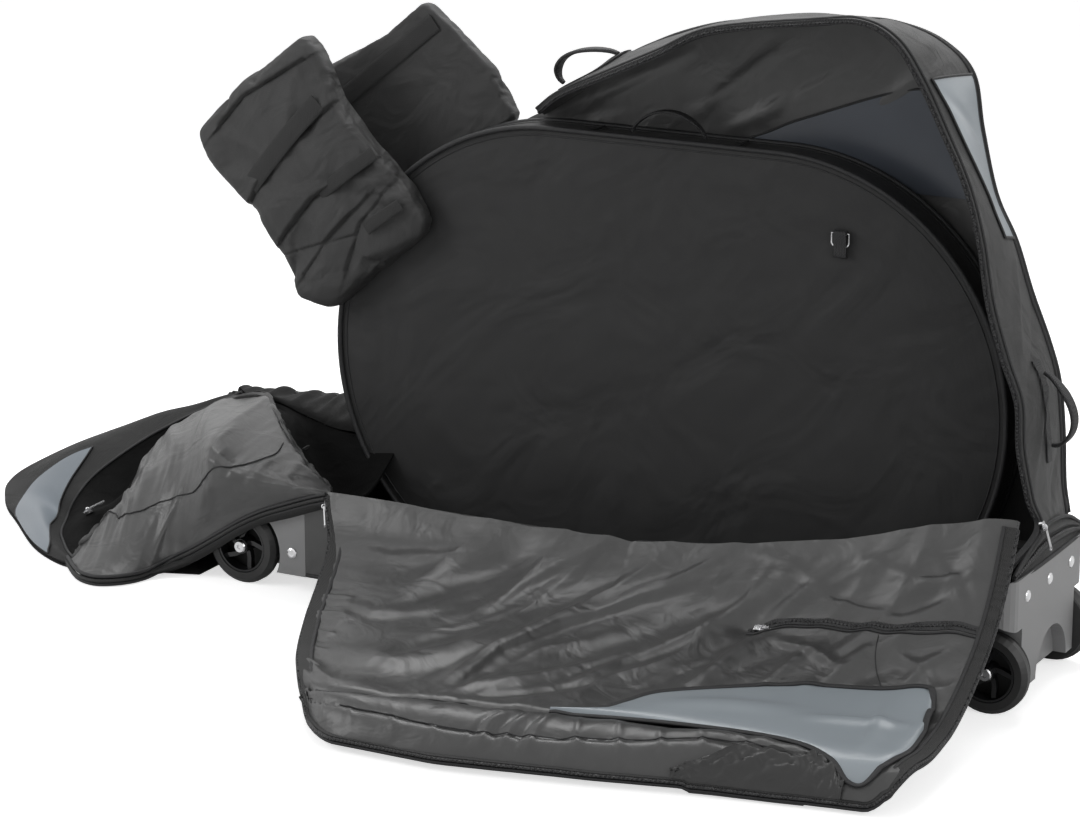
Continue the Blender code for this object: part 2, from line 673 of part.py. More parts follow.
def make_axle(name, x_side, y_side):
    """A shouldered bolt from the arch wall through the hub, with a hexagon socket in its head."""
    head_start = WHEEL_Y - ARCH_INNER_Y + WHEEL_WIDTH / 2 + RUNNING_GAP
    profile = [(AXLE_RADIUS, SEAT_GAP), (AXLE_RADIUS, head_start),
               (AXLE_HEAD_RADIUS, head_start),
               (AXLE_HEAD_RADIUS, head_start + AXLE_HEAD_HEIGHT / 2),
               (0.85 * AXLE_HEAD_RADIUS, head_start + AXLE_HEAD_HEIGHT)]
    out = Vector((0, y_side, 0))
    place = Vector((x_side * WHEEL_X, y_side * ARCH_INNER_Y, WHEEL_RADIUS))
    matrix = Matrix.Translation(place) @ out.to_track_quat("Z", "Y").to_matrix().to_4x4()
    bolt = add_object(name, turned(name, profile, SMALL_SIDES * 3 // 2), BRIGHT_METAL,
                      matrix=matrix)
    top = head_start + AXLE_HEAD_HEIGHT
    socket = cylinder_bm(SOCKET_RADIUS, top - SOCKET_DEPTH, top + CUT_OVERRUN, "Z", (0, 0), 6)
    cut(bolt, add_object(f"{name}_socket", mesh_of(socket, "socket"), None, matrix=matrix,
                         cutter=True))


# Strap loops, folded narrow where they are sewn down
STRAP_NECK_SHARE = 0.27


def strap_loop(name, start, end, out, rise, lean, width, thickness):
    """A webbing loop standing on two feet; lean pushes its middle along the line of its feet."""
    path, half_widths = [], []
    for i in range(2 * ARC_STEPS + 1):
        t = i / (2 * ARC_STEPS)
        lift = math.sin(math.pi * t) ** 0.6
        path.append(start.lerp(end, t) + (end - start) * lean * lift
                    + out * (thickness / 2 + (rise - thickness) * lift))
        half_widths.append(width / 2 * min(1, STRAP_NECK_SHARE + lift))
    sweep(name, path, half_widths, thickness / 2, Vector((0, 1, 0)), WEBBING)


# Wheel compartment
POCKET_CENTRE_X = POCKET_LENGTH / 2 - POCKET_END_RADIUS
POCKET_CENTRE_Z = POCKET_TOP_HEIGHT - POCKET_END_RADIUS
POCKET_BOTTOM = BOARD_TOP + SEAT_GAP


def pocket_outline(inset):
    """Flat bottom on the floor board, two round ends and a straight top, anticlockwise."""
    radius = POCKET_END_RADIUS - inset
    bottom = POCKET_BOTTOM + inset
    foot = math.asin((bottom - POCKET_CENTRE_Z) / radius)
    right = []
    for i in range(2 * ARC_STEPS + 1):
        a = foot + (math.pi / 2 - foot) * i / (2 * ARC_STEPS)
        right.append((POCKET_CENTRE_X + radius * math.cos(a),
                      POCKET_CENTRE_Z + radius * math.sin(a)))
    return right + [(-x, z) for x, z in reversed(right)]


LID_HALF_LENGTH = POCKET_CENTRE_X - LID_END_INSET


def make_pocket():
    front_middle = POCKET_NEAR_FACE + POCKET_WALL / 2
    back_middle = POCKET_BACK_FACE - POCKET_WALL / 2
    flat_piece("wheel_pocket_front", [pocket_outline(0)], POCKET_WALL, POCKET_FABRIC,
               upright_at(front_middle))
    flat_piece("wheel_pocket_back", [pocket_outline(0)], POCKET_WALL, POCKET_FABRIC,
               upright_at(back_middle))
    depth = POCKET_DEPTH - 2 * POCKET_WALL - 2 * SEAT_GAP
    middle = (POCKET_NEAR_FACE + POCKET_BACK_FACE) / 2
    band = as_mesh(flat_piece("wheel_pocket_band", [pocket_outline(0), pocket_outline(POCKET_WALL)],
                              depth, POCKET_FABRIC, upright_at(middle)))
    band.data.materials.clear()
    band.data.materials.append(POCKET_FABRIC)
    mouth = add_object("pocket_mouth", mesh_of(block_bm(
        (-LID_HALF_LENGTH - SEAT_GAP, POCKET_NEAR_FACE, POCKET_TOP_HEIGHT - 2 * POCKET_WALL),
        (LID_HALF_LENGTH + SEAT_GAP, POCKET_BACK_FACE, POCKET_TOP_HEIGHT + POCKET_WALL)),
        "mouth"), None, cutter=True)
    cut(band, mouth)
    lid = block_bm((-LID_HALF_LENGTH, middle - depth / 2, POCKET_TOP_HEIGHT - POCKET_WALL),
                   (LID_HALF_LENGTH, middle + depth / 2, POCKET_TOP_HEIGHT))
    add_object("wheel_pocket_lid", mesh_of(lid, "lid"), POCKET_FABRIC)
    foot = Vector((LID_HANDLE_SHARE * LID_HALF_LENGTH, middle, POCKET_TOP_HEIGHT - LID_HANDLE_SINK))
    strap_loop("lid_handle", foot * Vector((-1, 1, 1)), foot, Vector((0, 0, 1)),
               LID_HANDLE_RISE, 0, LID_HANDLE_WIDTH, LID_HANDLE_THICKNESS)


# Far wall and hood. Shares are of the base's half length and of the bag's height.
FAR_EDGE_SHARES = ((-0.352, 0.774), (-0.262, 0.816), (-0.108, 0.885), (0.044, 0.929),
                   (0.191, 0.950), (0.433, 0.966), (0.545, 0.962), (0.635, 0.940),
                   (0.700, 0.897), (0.725, 0.815), (0.762, 0.718), (0.812, 0.650),
                   (0.852, 0.574), (0.897, 0.500), (0.924, 0.441), (0.938, 0.364),
                   (0.945, 0.284), (0.956, 0.240), (0.964, 0.207), (0.964, 0.152))
ZIP_EDGE_SHARES = ((-0.340, 0.784), (-0.235, 0.828), (-0.060, 0.882), (0.076, 0.925),
                   (0.200, 0.966), (0.420, 0.991), (0.556, 1.000), (0.640, 0.975),
                   (0.700, 0.920), (0.755, 0.850), (0.812, 0.770), (0.847, 0.690),
                   (0.872, 0.600), (0.909, 0.520), (0.945, 0.455), (0.953, 0.384),
                   (0.978, 0.310), (0.998, 0.262), (0.966, 0.207), (0.964, 0.152))
ZIP_EDGE_REACH_SHARES = (0.20, 0.52, 0.90, 1.0, 1.0, 1.0, 1.0, 1.0, 1.0, 1.0, 1.0, 1.0, 1.0,
                         1.0, 1.0, 1.0, 1.0, 1.0, 1.44, 1.44)
HOOD_STEPS = 2
HOOD_COLUMNS = 5
HOOD_PATCH_SPAN = (0.46, 0.64, 0.04, 0.96)
HOOD_TAPE_STOP = 4
WALL_PATCH_SHARES = ((0.052, 0.734), (0.205, 0.773), (0.317, 0.807), (0.560, 0.862),
                     (0.615, 0.830), (0.656, 0.793), (0.694, 0.750), (0.720, 0.714),
                     (0.660, 0.680), (0.300, 0.690))
WALL_LEFT_SHARES = ((-0.870, 0.152), (-0.850, 0.230), (-0.780, 0.370), (-0.640, 0.520),
                    (-0.500, 0.640), (-0.430, 0.737))


def scaled(shares, y_of):
    return [(x * HALF_LENGTH, y, z * BAG_HEIGHT) for (x, z), y in zip(shares, y_of)]


FAR_EDGE = smooth_through(scaled(FAR_EDGE_SHARES,
                                 [WALL_NEAR_FACE - 2 * SEAT_GAP] * len(FAR_EDGE_SHARES)),
                          HOOD_STEPS)
ZIP_EDGE = smooth_through(scaled(ZIP_EDGE_SHARES,
                                 [WALL_NEAR_FACE - HOOD_WIDTH * s for s in ZIP_EDGE_REACH_SHARES]),
                          HOOD_STEPS)


def hood_point(share, across):
    """A point of the hood's outer face: share along its edges, across from wall to zip."""
    far, near = along(FAR_EDGE, share), along(ZIP_EDGE, share)
    return far.lerp(near, across) + hood_normal(share) * HOOD_CROWN * math.sin(math.pi * across)


def hood_normal(share):
    """Outward normal of the hood halfway across, in the XZ plane."""
    step = 1 / (len(FAR_EDGE) - 1)
    ahead = along(FAR_EDGE, share + step) - along(FAR_EDGE, share - step)
    return Vector((-ahead.z, 0, ahead.x)).normalized()


def hood_rows(first, last, low, high, lift, columns=HOOD_COLUMNS):
    """Rows of points over part of the hood, lifted off its outer face, one at each of its folds."""
    folds = [i / (len(FAR_EDGE) - 1) for i in range(len(FAR_EDGE))]
    shares = [first] + [s for s in folds if first < s < last] + [last]
    return [[hood_point(share, low + (high - low) * c / (columns - 1))
             + hood_normal(share) * lift for c in range(columns)] for share in shares]


def make_far_wall():
    """A flat wall standing on the tray and on the caps' sides, notched round the right cap."""
    foot, cap_top = TRAY_TOP_HEIGHT + SEAT_GAP, CAP_TOP_HEIGHT + SEAT_GAP
    notch = HALF_LENGTH - CAP_CORNER_RADIUS - SEAT_GAP
    outline = [(p.x, p.z) for p in FAR_EDGE if p.z > cap_top]
    outline += [(outline[-1][0], cap_top), (notch, cap_top), (notch, foot)]
    outline += [(x * HALF_LENGTH, max(z * BAG_HEIGHT, foot)) for x, z in WALL_LEFT_SHARES]
    flat_piece("far_wall", [outline], WALL_THICKNESS, OUTER_FABRIC,
               upright_at(WALL_NEAR_FACE + WALL_THICKNESS / 2))


def make_hood():
    outer = hood_rows(0, 1, 0, 1, 0)
    inner = hood_rows(0, 1, 0, 1, -HOOD_THICKNESS)
    closed_sheet("hood_gusset", outer, inner, OUTER_FABRIC)
    first, last, low, high = HOOD_PATCH_SPAN
    closed_sheet("hood_patch", hood_rows(first, last, low, high, PATCH_LIFT + PATCH_THICKNESS),
                 hood_rows(first, last, low, high, PATCH_LIFT), PATCH_SHEET)
    shares = [i / (len(FAR_EDGE) - 1) for i in range(len(FAR_EDGE) - HOOD_TAPE_STOP)]
    edge_tape("hood_zip_tape", [hood_point(s, 1) - hood_normal(s) * HOOD_THICKNESS / 2
                                for s in shares], [hood_normal(s) for s in shares])
    outline = [(x * HALF_LENGTH, z * BAG_HEIGHT) for x, z in WALL_PATCH_SHARES]
    flat_piece("far_wall_patch", [outline], PATCH_THICKNESS, PATCH_SHEET,
               upright_at(WALL_NEAR_FACE - SEAT_GAP - PATCH_THICKNESS / 2))


# Side panel folded down in front. Shares are of the panel's width and of its reach.
PANEL_LEFT_EDGE_SHARES = ((0.0, 0.0), (0.032, 0.10), (0.070, 0.30), (0.108, 0.50),
                          (0.160, 0.705), (0.228, 0.900))
PANEL_RIGHT_EDGE_SHARES = ((1.0, 0.0), (1.0, 0.12), (1.0, 0.28), (0.998, 0.44),
                           (0.990, 0.60), (0.968, 0.740))
PANEL_OUTER_EDGE_SHARES = ((0.228, 0.900), (0.300, 1.0), (0.415, 0.998), (0.520, 0.955),
                           (0.645, 0.905), (0.765, 0.850), (0.890, 0.800), (0.968, 0.740))
PANEL_HEIGHT_SHARES = (1.0, 0.76, 0.53, 0.39, 0.33, 0.325, 0.26, 0.05)
PANEL_HEIGHT_PLACES = (0.0, 0.12, 0.30, 0.55, 0.75, 0.87, 0.94, 1.0)
PANEL_COLUMNS = 16
PANEL_PATCH_START, PANEL_PATCH_END = 0.80, 0.985
PANEL_PATCH_COLUMNS = (8, 15)
PANEL_WIDTH = PANEL_RIGHT - PANEL_LEFT
PANEL_OUT = PANEL_LENGTH + HINGE_Y


def table_value(places, values, at):
    """Straight-line reading of a table."""
    for (a, va), (b, vb) in zip(zip(places, values), zip(places[1:], values[1:])):
        if at <= b:
            return va + (vb - va) * (at - a) / (b - a)
    return values[-1]


def panel_plan(across, out):
    """Where the panel lies in plan: across from left to right, out from hinge to free edge."""
    def place(x_share, y_share):
        return Vector((PANEL_LEFT + x_share * PANEL_WIDTH, HINGE_Y - y_share * PANEL_OUT))
    left = along([place(*s) for s in PANEL_LEFT_EDGE_SHARES], out)
    right = along([place(*s) for s in PANEL_RIGHT_EDGE_SHARES], out)
    edge = along([place(*s) for s in PANEL_OUTER_EDGE_SHARES], across)
    corners = place(*PANEL_LEFT_EDGE_SHARES[-1]).lerp(place(*PANEL_RIGHT_EDGE_SHARES[-1]), across)
    return left.lerp(right, across) + (edge - corners) * out ** 1.5


def panel_point(across, out, lift=0.0):
    """A point of the panel's lining face, or lifted off it."""
    plan = panel_plan(across, out)
    height = HINGE_Z * table_value(PANEL_HEIGHT_PLACES, PANEL_HEIGHT_SHARES, out)
    return Vector((plan.x, plan.y, height + lift))


def panel_rows(lift, outs=PANEL_HEIGHT_PLACES, columns=(0, PANEL_COLUMNS)):
    """Rows of points of the panel, from its hinge to its free edge."""
    return [[panel_point(c / PANEL_COLUMNS, out, lift)
             for c in range(columns[0], columns[1] + 1)] for out in outs]


def make_side_panel():
    top = panel_rows(0)
    bottom = [[Vector((p.x, p.y, max(p.z, PANEL_FLOOR_GAP))) for p in row]
              for row in panel_rows(-PANEL_THICKNESS)]
    closed_sheet("side_panel", top, bottom, LINING)
    outs = [out for out in PANEL_HEIGHT_PLACES if PANEL_PATCH_START < out < PANEL_PATCH_END]
    outs = [PANEL_PATCH_START] + outs + [PANEL_PATCH_END]
    closed_sheet("side_panel_patch", *(panel_rows(lift, outs, PANEL_PATCH_COLUMNS)
                                       for lift in (PATCH_LIFT + PATCH_THICKNESS, PATCH_LIFT)),
                 PATCH_SHEET)
    steps = [i / PANEL_COLUMNS for i in range(PANEL_COLUMNS + 1)]
    edge = [(0, out) for out in PANEL_HEIGHT_PLACES[1:-1]] + [(share, 1) for share in steps]
    edge += [(1, out) for out in PANEL_HEIGHT_PLACES[-2:0:-1]]
    path = []
    for across, out in edge:
        point = panel_point(across, out)
        point.z -= min(point.z - PANEL_FLOOR_GAP, PANEL_THICKNESS) / 2
        path.append(point)
    edge_tape("side_panel_zip_tape", path, [Vector((0, 0, 1))] * len(path))


# Left end panel fallen to the floor. Shares are of its reach, near reach and rim height.
FALLEN_NEAR_SHARES = ((0.0, 0.730, 0.34), (0.10, 0.84, 0.18), (0.22, 0.95, 0.06),
                      (0.34, 1.00, 0.045), (0.48, 0.84, 0.040), (0.64, 0.60, 0.040),
                      (0.82, 0.18, 0.040), (0.94, -0.16, 0.045), (1.0, -0.38, 0.060))
FALLEN_FOLD_SHARES = ((0.0, 0.700, 0.90), (0.10, 0.72, 0.60), (0.22, 0.84, 0.33),
                      (0.34, 0.86, 0.20), (0.48, 0.70, 0.15), (0.64, 0.46, 0.12),
                      (0.82, 0.08, 0.09), (0.94, -0.21, 0.075), (1.0, -0.39, 0.070))
FALLEN_FAR_SHARES = ((0.0, -0.62, 1.03), (0.14, -0.65, 0.985), (0.28, -0.66, 0.93),
                     (0.42, -0.65, 0.83), (0.56, -0.64, 0.67), (0.70, -0.63, 0.50),
                     (0.84, -0.60, 0.34), (0.95, -0.54, 0.17), (1.0, -0.44, 0.085))
FALLEN_SAG_SHARE = 0.13
FALLEN_COLUMNS = 7
FALLEN_STEPS = 2
END_PATCH_SPAN = (11, 16, 2, 6)


def fallen_edge(shares):
    points = [(FALLEN_HINGE_X - s * FALLEN_LENGTH, -y * FALLEN_NEAR_WIDTH,
               z * FALLEN_RIM_HEIGHT) for s, y, z in shares]
    return smooth_through(points, FALLEN_STEPS)


def fallen_rows():
    """Rows of points from the hinge to the toe: the near edge, the fold, and on to the far rim."""
    edges = [fallen_edge(shares) for shares in
             (FALLEN_NEAR_SHARES, FALLEN_FOLD_SHARES, FALLEN_FAR_SHARES)]
    rows = []
    for i, (near, fold, far) in enumerate(zip(*edges)):
        out = i / (len(edges[0]) - 1)
        row = [near]
        for c in range(FALLEN_COLUMNS + 1):
            across = c / FALLEN_COLUMNS
            point = fold.lerp(far, across)
            point.z -= (FALLEN_SAG_SHARE * FALLEN_RIM_HEIGHT * math.sin(math.pi * across)
                        * math.sin(math.pi * out))
            row.append(point)
        rows.append(row)
    return rows


def above_floor(rows):
    return [[Vector((p.x, p.y, max(p.z, FALLEN_FLOOR_GAP))) for p in row] for row in rows]


def make_fallen_end():
    lining = fallen_rows()
    under = above_floor(offset_rows(lining, FALLEN_THICKNESS))
    for point in under[0]:
        point.x = FALLEN_HINGE_X
    closed_sheet("end_panel", lining, under, LINING)
    first, last, low, high = END_PATCH_SPAN
    patch = [row[low:high + 1] for row in offset_rows(lining, SEAT_GAP - PATCH_LIFT)[first:last + 1]]
    closed_sheet("end_panel_patch", offset_rows(patch, -PATCH_THICKNESS), patch, PATCH_SHEET)
    edge = [(a[0] + b[0]) / 2 for a, b in zip(lining[1:], under[1:])]
    edge_tape("end_panel_zip_tape", edge,
              [(b[0] - a[0]).normalized() for a, b in zip(lining[1:], under[1:])])


# Cloth standing on the left cap between the fallen panel and the side panel
GUSSET_FRONT_SHARES = ((0.0, 0.36, 0.885), (0.25, 0.49, 0.882), (0.5, 0.60, 0.840),
                       (0.75, 0.67, 0.80), (1.0, 0.73, 0.765))
GUSSET_RIGHT_SHARES = (1.0, 1.0, 0.93, 0.74, 0.56, 0.38, 0.22, 0.14, 0.20)
GUSSET_REACH_SHARES = (0.0, 0.0, 0.05, 0.17, 0.35, 0.55, 0.75, 0.90, 1.0)
GUSSET_RISE_SHARES = (0.0, 0.0, 0.10, 0.25, 0.45, 0.62, 0.80, 0.92, 1.0)


def make_end_gusset():
    front, back = -HALF_WIDTH - 2 * SEAT_GAP, WALL_NEAR_FACE - 4 * SEAT_GAP
    rows = []
    for out, low, high in GUSSET_FRONT_SHARES:
        row = []
        for c, (right, reach, rise) in enumerate(zip(GUSSET_RIGHT_SHARES, GUSSET_REACH_SHARES,
                                                     GUSSET_RISE_SHARES)):
            x = -HALF_LENGTH + out * right * GUSSET_LENGTH
            top = high * FALLEN_RIM_HEIGHT
            height = low * FALLEN_RIM_HEIGHT if c == 0 else top + rise * (GUSSET_FAR_HEIGHT - top)
            row.append(Vector((x, front + reach * (back - front), height)))
        rows.append(row)
    outer = offset_rows(rows, GUSSET_THICKNESS)
    for point in outer[0]:
        point.x = -HALF_LENGTH
    for row in outer:
        row[-1].y = back
    closed_sheet("end_gusset", outer, rows, OUTER_FABRIC)


# Handlebar cover. Each pad's middle and size are shares of the compartment's round end, and
# its outline's shares are of its width and height about its middle.
NEAR_PAD_MIDDLE_SHARES = (-1.0693, 0.7333)
NEAR_PAD_SIZE_SHARES = (1.0747, 1.1307)
NEAR_PAD_SHARES = ((-0.500, 0.099), (-0.309, 0.297), (0.006, 0.500), (0.500, -0.137),
                   (0.105, -0.500), (-0.076, -0.467), (-0.277, -0.186))
FAR_PAD_MIDDLE_SHARES = (-0.7280, 0.9987)
FAR_PAD_SIZE_SHARES = (0.9307, 0.8507)
FAR_PAD_SHARES = ((-0.500, 0.105), (0.033, 0.500), (0.371, 0.208), (0.500, -0.017),
                  (0.090, -0.431), (-0.119, -0.500))
PAD_RING_SHARES = (1.0, 0.94, 0.82, 0.66, 0.50, 0.34, 0.17)


def make_pad(name, middle_shares, size_shares, shares, flat_y, bulge_side):
    """A crowned, channelled pad with a flat back at flat_y, bulging towards bulge_side."""
    width, height = (share * POCKET_END_RADIUS for share in size_shares)
    x0, z0 = (share * POCKET_END_RADIUS for share in middle_shares)
    x0, z0 = x0 - POCKET_CENTRE_X, z0 + POCKET_CENTRE_Z
    corners = [Vector((x0 + x * width, 0, z0 + z * height)) for x, z in shares]
    outline = rounded(corners, PAD_CORNER_RADIUS)
    middle = sum(outline, Vector()) / len(outline)
    bm = bmesh.new()
    made = [[bm.verts.new((p.x, flat_y, p.z)) for p in outline]]
    for share in PAD_RING_SHARES:
        ring = []
        for p in outline:
            place = middle.lerp(p, share)
            wave = math.cos(2 * math.pi * (place.x - place.z) / PAD_CHANNEL_PITCH)
            depth = PAD_EDGE_THICKNESS + (1 - share ** 3) ** 0.5 * (
                PAD_THICKNESS - PAD_EDGE_THICKNESS - PAD_CHANNEL_DEPTH * (0.5 - 0.5 * wave))
            ring.append(bm.verts.new((place.x, flat_y + bulge_side * depth, place.z)))
        made.append(ring)
    for first, second in zip(made, made[1:]):
        for k in range(len(first)):
            n = (k + 1) % len(first)
            bm.faces.new((first[k], first[n], second[n], second[k]))
    bm.faces.new(made[0])
    top = bm.verts.new((middle.x, flat_y + bulge_side * PAD_THICKNESS, middle.z))
    for k in range(len(outline)):
        bm.faces.new((made[-1][k], made[-1][(k + 1) % len(outline)], top))
    add_object(name, mesh_of(bm, name, 60), OUTER_FABRIC)


def make_handlebar_cover():
    make_pad("handlebar_pad_near", NEAR_PAD_MIDDLE_SHARES, NEAR_PAD_SIZE_SHARES, NEAR_PAD_SHARES,
             POCKET_NEAR_FACE - SEAT_GAP, -1)
    make_pad("handlebar_pad_far", FAR_PAD_MIDDLE_SHARES, FAR_PAD_SIZE_SHARES, FAR_PAD_SHARES,
             WALL_NEAR_FACE + SEAT_GAP, 1)
    centre = Vector((-POCKET_CENTRE_X, 0, POCKET_CENTRE_Z))
    radius = POCKET_END_RADIUS + 3 * SEAT_GAP + PAD_STRAP_THICKNESS / 2
    half_width, half_thickness = PAD_STRAP_WIDTH / 2, PAD_STRAP_THICKNESS / 2
    a = math.radians(PAD_STRAP_ANGLE)
    out = Vector((math.cos(a), 0, math.sin(a)))
    strap = block_bm((-half_width, POCKET_NEAR_FACE, -half_thickness),
                     (half_width, WALL_NEAR_FACE, half_thickness))
    matrix = Matrix.Translation(centre + out * radius) @ Matrix.Rotation(math.pi / 2 - a, 4, "Y")
    add_object("pad_bridge", mesh_of(strap, "pad_bridge"), WEBBING, matrix=matrix)


# Carry handles on the hood. Shares are the places of the two feet along the hood, their place
# across it, and how far the loop leans along the line of its feet.
TOP_HANDLE_SHARES = (0.052, 0.105, 0.50, -0.20)
END_HANDLE_SHARES = (0.715, 0.795, 0.46, 0.12)


def make_handle(name, shares, rise):
    """A loop on a base strap sewn along the hood."""
    first, last, across, lean = shares
    feet = [hood_point(s, across)
            + hood_normal(s) * (ANCHOR_LIFT + ANCHOR_THICKNESS + HANDLE_FOOT_GAP)
            for s in (first, last)]
    strap_loop(name, *feet, hood_normal((first + last) / 2), rise, lean, HANDLE_WIDTH,
               HANDLE_THICKNESS)
    half = HANDLE_WIDTH / 2 / HOOD_WIDTH
    step = 1 / (len(FAR_EDGE) - 1)
    length = (hood_point(first + step, across) - hood_point(first - step, across)).length
    spare = step * ANCHOR_SPARE / length * 2
    outer, inner = (hood_rows(first - spare, last + spare, across - half, across + half, lift, 3)
                    for lift in (ANCHOR_LIFT + ANCHOR_THICKNESS, ANCHOR_LIFT))
    closed_sheet(f"{name}_base", outer, inner, WEBBING)


# D-ring hanging in a webbing tab on the compartment's face
def make_ring():
    y = POCKET_NEAR_FACE - SEAT_GAP - TAB_THICKNESS - 2 * RING_WIRE_RADIUS
    half_width, radius = RING_WIDTH / 2 - RING_WIRE_RADIUS, RING_HEIGHT / 3
    points = [(-half_width, 0), (half_width, 0)]
    for side in (1, -1):
        for i in range(ARC_STEPS // 2 + 1):
            a = math.pi / 2 * i / (ARC_STEPS // 2)
            if side < 0:
                a = math.pi / 2 - a
            points.append((side * (half_width - radius + radius * math.cos(a)),
                           -(RING_HEIGHT - radius) - radius * math.sin(a)))
    curve = bpy.data.curves.new("d_ring", "CURVE")
    curve.dimensions = "3D"
    curve.bevel_depth = RING_WIRE_RADIUS
    curve.bevel_resolution = 2
    spline = curve.splines.new("POLY")
    spline.points.add(len(points) - 1)
    for point, (x, z) in zip(spline.points, points):
        point.co = (x, 0, z, 1)
    spline.use_cyclic_u = True
    add_object("d_ring", curve, BRIGHT_METAL, matrix=Matrix.Translation((RING_X, y, RING_Z)))
    bore = RING_WIRE_RADIUS + 2 * SEAT_GAP
    back = POCKET_NEAR_FACE - SEAT_GAP - y
    outer_radius = bore + TAB_THICKNESS
    section = [(back, outer_radius), (back, -TAB_LENGTH), (back - TAB_THICKNESS, -TAB_LENGTH),
               (back - TAB_THICKNESS, -outer_radius)]
    outside = [(-outer_radius * math.sin(math.pi * i / ARC_STEPS),
                -outer_radius * math.cos(math.pi * i / ARC_STEPS)) for i in range(ARC_STEPS + 1)]
    eye = [(bore * math.cos(2 * math.pi * i / SMALL_SIDES),
            bore * math.sin(2 * math.pi * i / SMALL_SIDES)) for i in range(SMALL_SIDES)]
    edge_on = Matrix(((0, 0, 1, 0), (1, 0, 0, 0), (0, 1, 0, 0), (0, 0, 0, 1)))
    flat_piece("ring_tab", [section + outside, eye], TAB_WIDTH, WEBBING,
               Matrix.Translation((RING_X, y, RING_Z)) @ edge_on)


# Zip sliders and pulls. Shares place each zip's first stretch on its cloth.
LEFT_ZIP_SHARES = (0.02, 0.11)
LEFT_SLIDER_SHARE = 0.12
RIGHT_ZIP_SHARES = (0.888, 0.845)
RIGHT_ZIP_ACROSS_SHARE = 0.965
PANEL_POCKET_ZIP_SHARES = ((0.675, 0.255), (0.955, 0.19))
END_POCKET_ZIP = ((8, 3), (1, 4))


def capsule(length, half_width, top):
    """Outline of a pull: a bar with round ends, its upper end at top."""
    points = []
    for i in range(ARC_STEPS + 1):
        a = math.pi * i / ARC_STEPS
        points.append((half_width * math.cos(a), top - half_width + half_width * math.sin(a)))
    for i in range(ARC_STEPS + 1):
        a = math.pi + math.pi * i / ARC_STEPS
        points.append((half_width * math.cos(a),
                       top - length + half_width + half_width * math.sin(a)))
    return points


def circle(radius, centre_y, sides=SMALL_SIDES):
    return [(radius * math.cos(2 * math.pi * i / sides),
             centre_y + radius * math.sin(2 * math.pi * i / sides)) for i in range(sides)]


BRIDGE_Z = SLIDER_THICKNESS + BRIDGE_WIRE_RADIUS


def make_slider(name, matrix, pull_turn_deg):
    """A slider lying on its tape, zip along its own Y, with a pull linked through its bridge.

    The pull hangs from the bridge and turns about the slider's X at the bridge's centre.
    """
    half_width, half_length = SLIDER_WIDTH / 2, SLIDER_LENGTH / 2
    waist = 0.72 * half_width
    outline = [(-waist, -half_length), (waist, -half_length), (half_width, -0.2 * half_length),
               (half_width, 0.75 * half_length), (0.7 * half_width, half_length),
               (-0.7 * half_width, half_length), (-half_width, 0.75 * half_length),
               (-half_width, -0.2 * half_length)]
    place = Matrix.Translation((0, 0, SLIDER_THICKNESS / 2))
    body = as_mesh(flat_piece(f"{name}_slider", [outline], SLIDER_THICKNESS, BRIGHT_METAL,
                              matrix @ place))
    body.data.materials.clear()
    body.data.materials.append(BRIGHT_METAL)
    bridge = bmesh.new()
    rings = []
    steps, sides = ARC_STEPS, SMALL_SIDES // 2
    for i in range(steps + 1):
        a = math.pi * (1.18 * i / steps - 0.09)
        centre = Vector((0, BRIDGE_RADIUS * math.cos(a), BRIDGE_Z + BRIDGE_RADIUS * math.sin(a)))
        out = Vector((0, math.cos(a), math.sin(a)))
        rings.append([bridge.verts.new(
            centre + out * BRIDGE_WIRE_RADIUS * math.cos(2 * math.pi * k / sides)
            + Vector((1, 0, 0)) * BRIDGE_WIRE_RADIUS * math.sin(2 * math.pi * k / sides))
            for k in range(sides)])
    for first, second in zip(rings, rings[1:]):
        for k in range(sides):
            n = (k + 1) % sides
            bridge.faces.new((first[k], first[n], second[n], second[k]))
    bridge.faces.new(rings[0])
    bridge.faces.new(rings[-1])
    cut(body, add_object(f"{name}_bridge", mesh_of(bridge, "bridge"), None, matrix=matrix,
                         cutter=True), "UNION")
    top = PULL_RIM / 2
    holes = [circle(PULL_EYE_RADIUS, top - PULL_RIM - PULL_EYE_RADIUS),
             circle(PULL_HOLE_RADIUS, top - PULL_LENGTH + 1.4 * PULL_RIM + PULL_HOLE_RADIUS)]
    pull = matrix @ Matrix.Translation((0, 0, pull_axis_height()))
    pull = pull @ Matrix.Rotation(math.radians(pull_turn_deg), 4, "X")
    flat_piece(f"{name}_pull", [capsule(PULL_LENGTH, PULL_WIDTH / 2, top)] + holes,
               PULL_THICKNESS, BRIGHT_METAL, pull)


def pull_axis_height():
    return SLIDER_THICKNESS + PULL_THICKNESS / 2 + 2 * SEAT_GAP


def frame_matrix(place, along_zip, outward):
    """A matrix whose Y runs along the zip and whose Z points off the cloth."""
    y = along_zip.normalized()
    x = y.cross(outward).normalized()
    z = x.cross(y)
    turn = Matrix((x, y, z)).transposed().to_4x4()
    return Matrix.Translation(place) @ turn


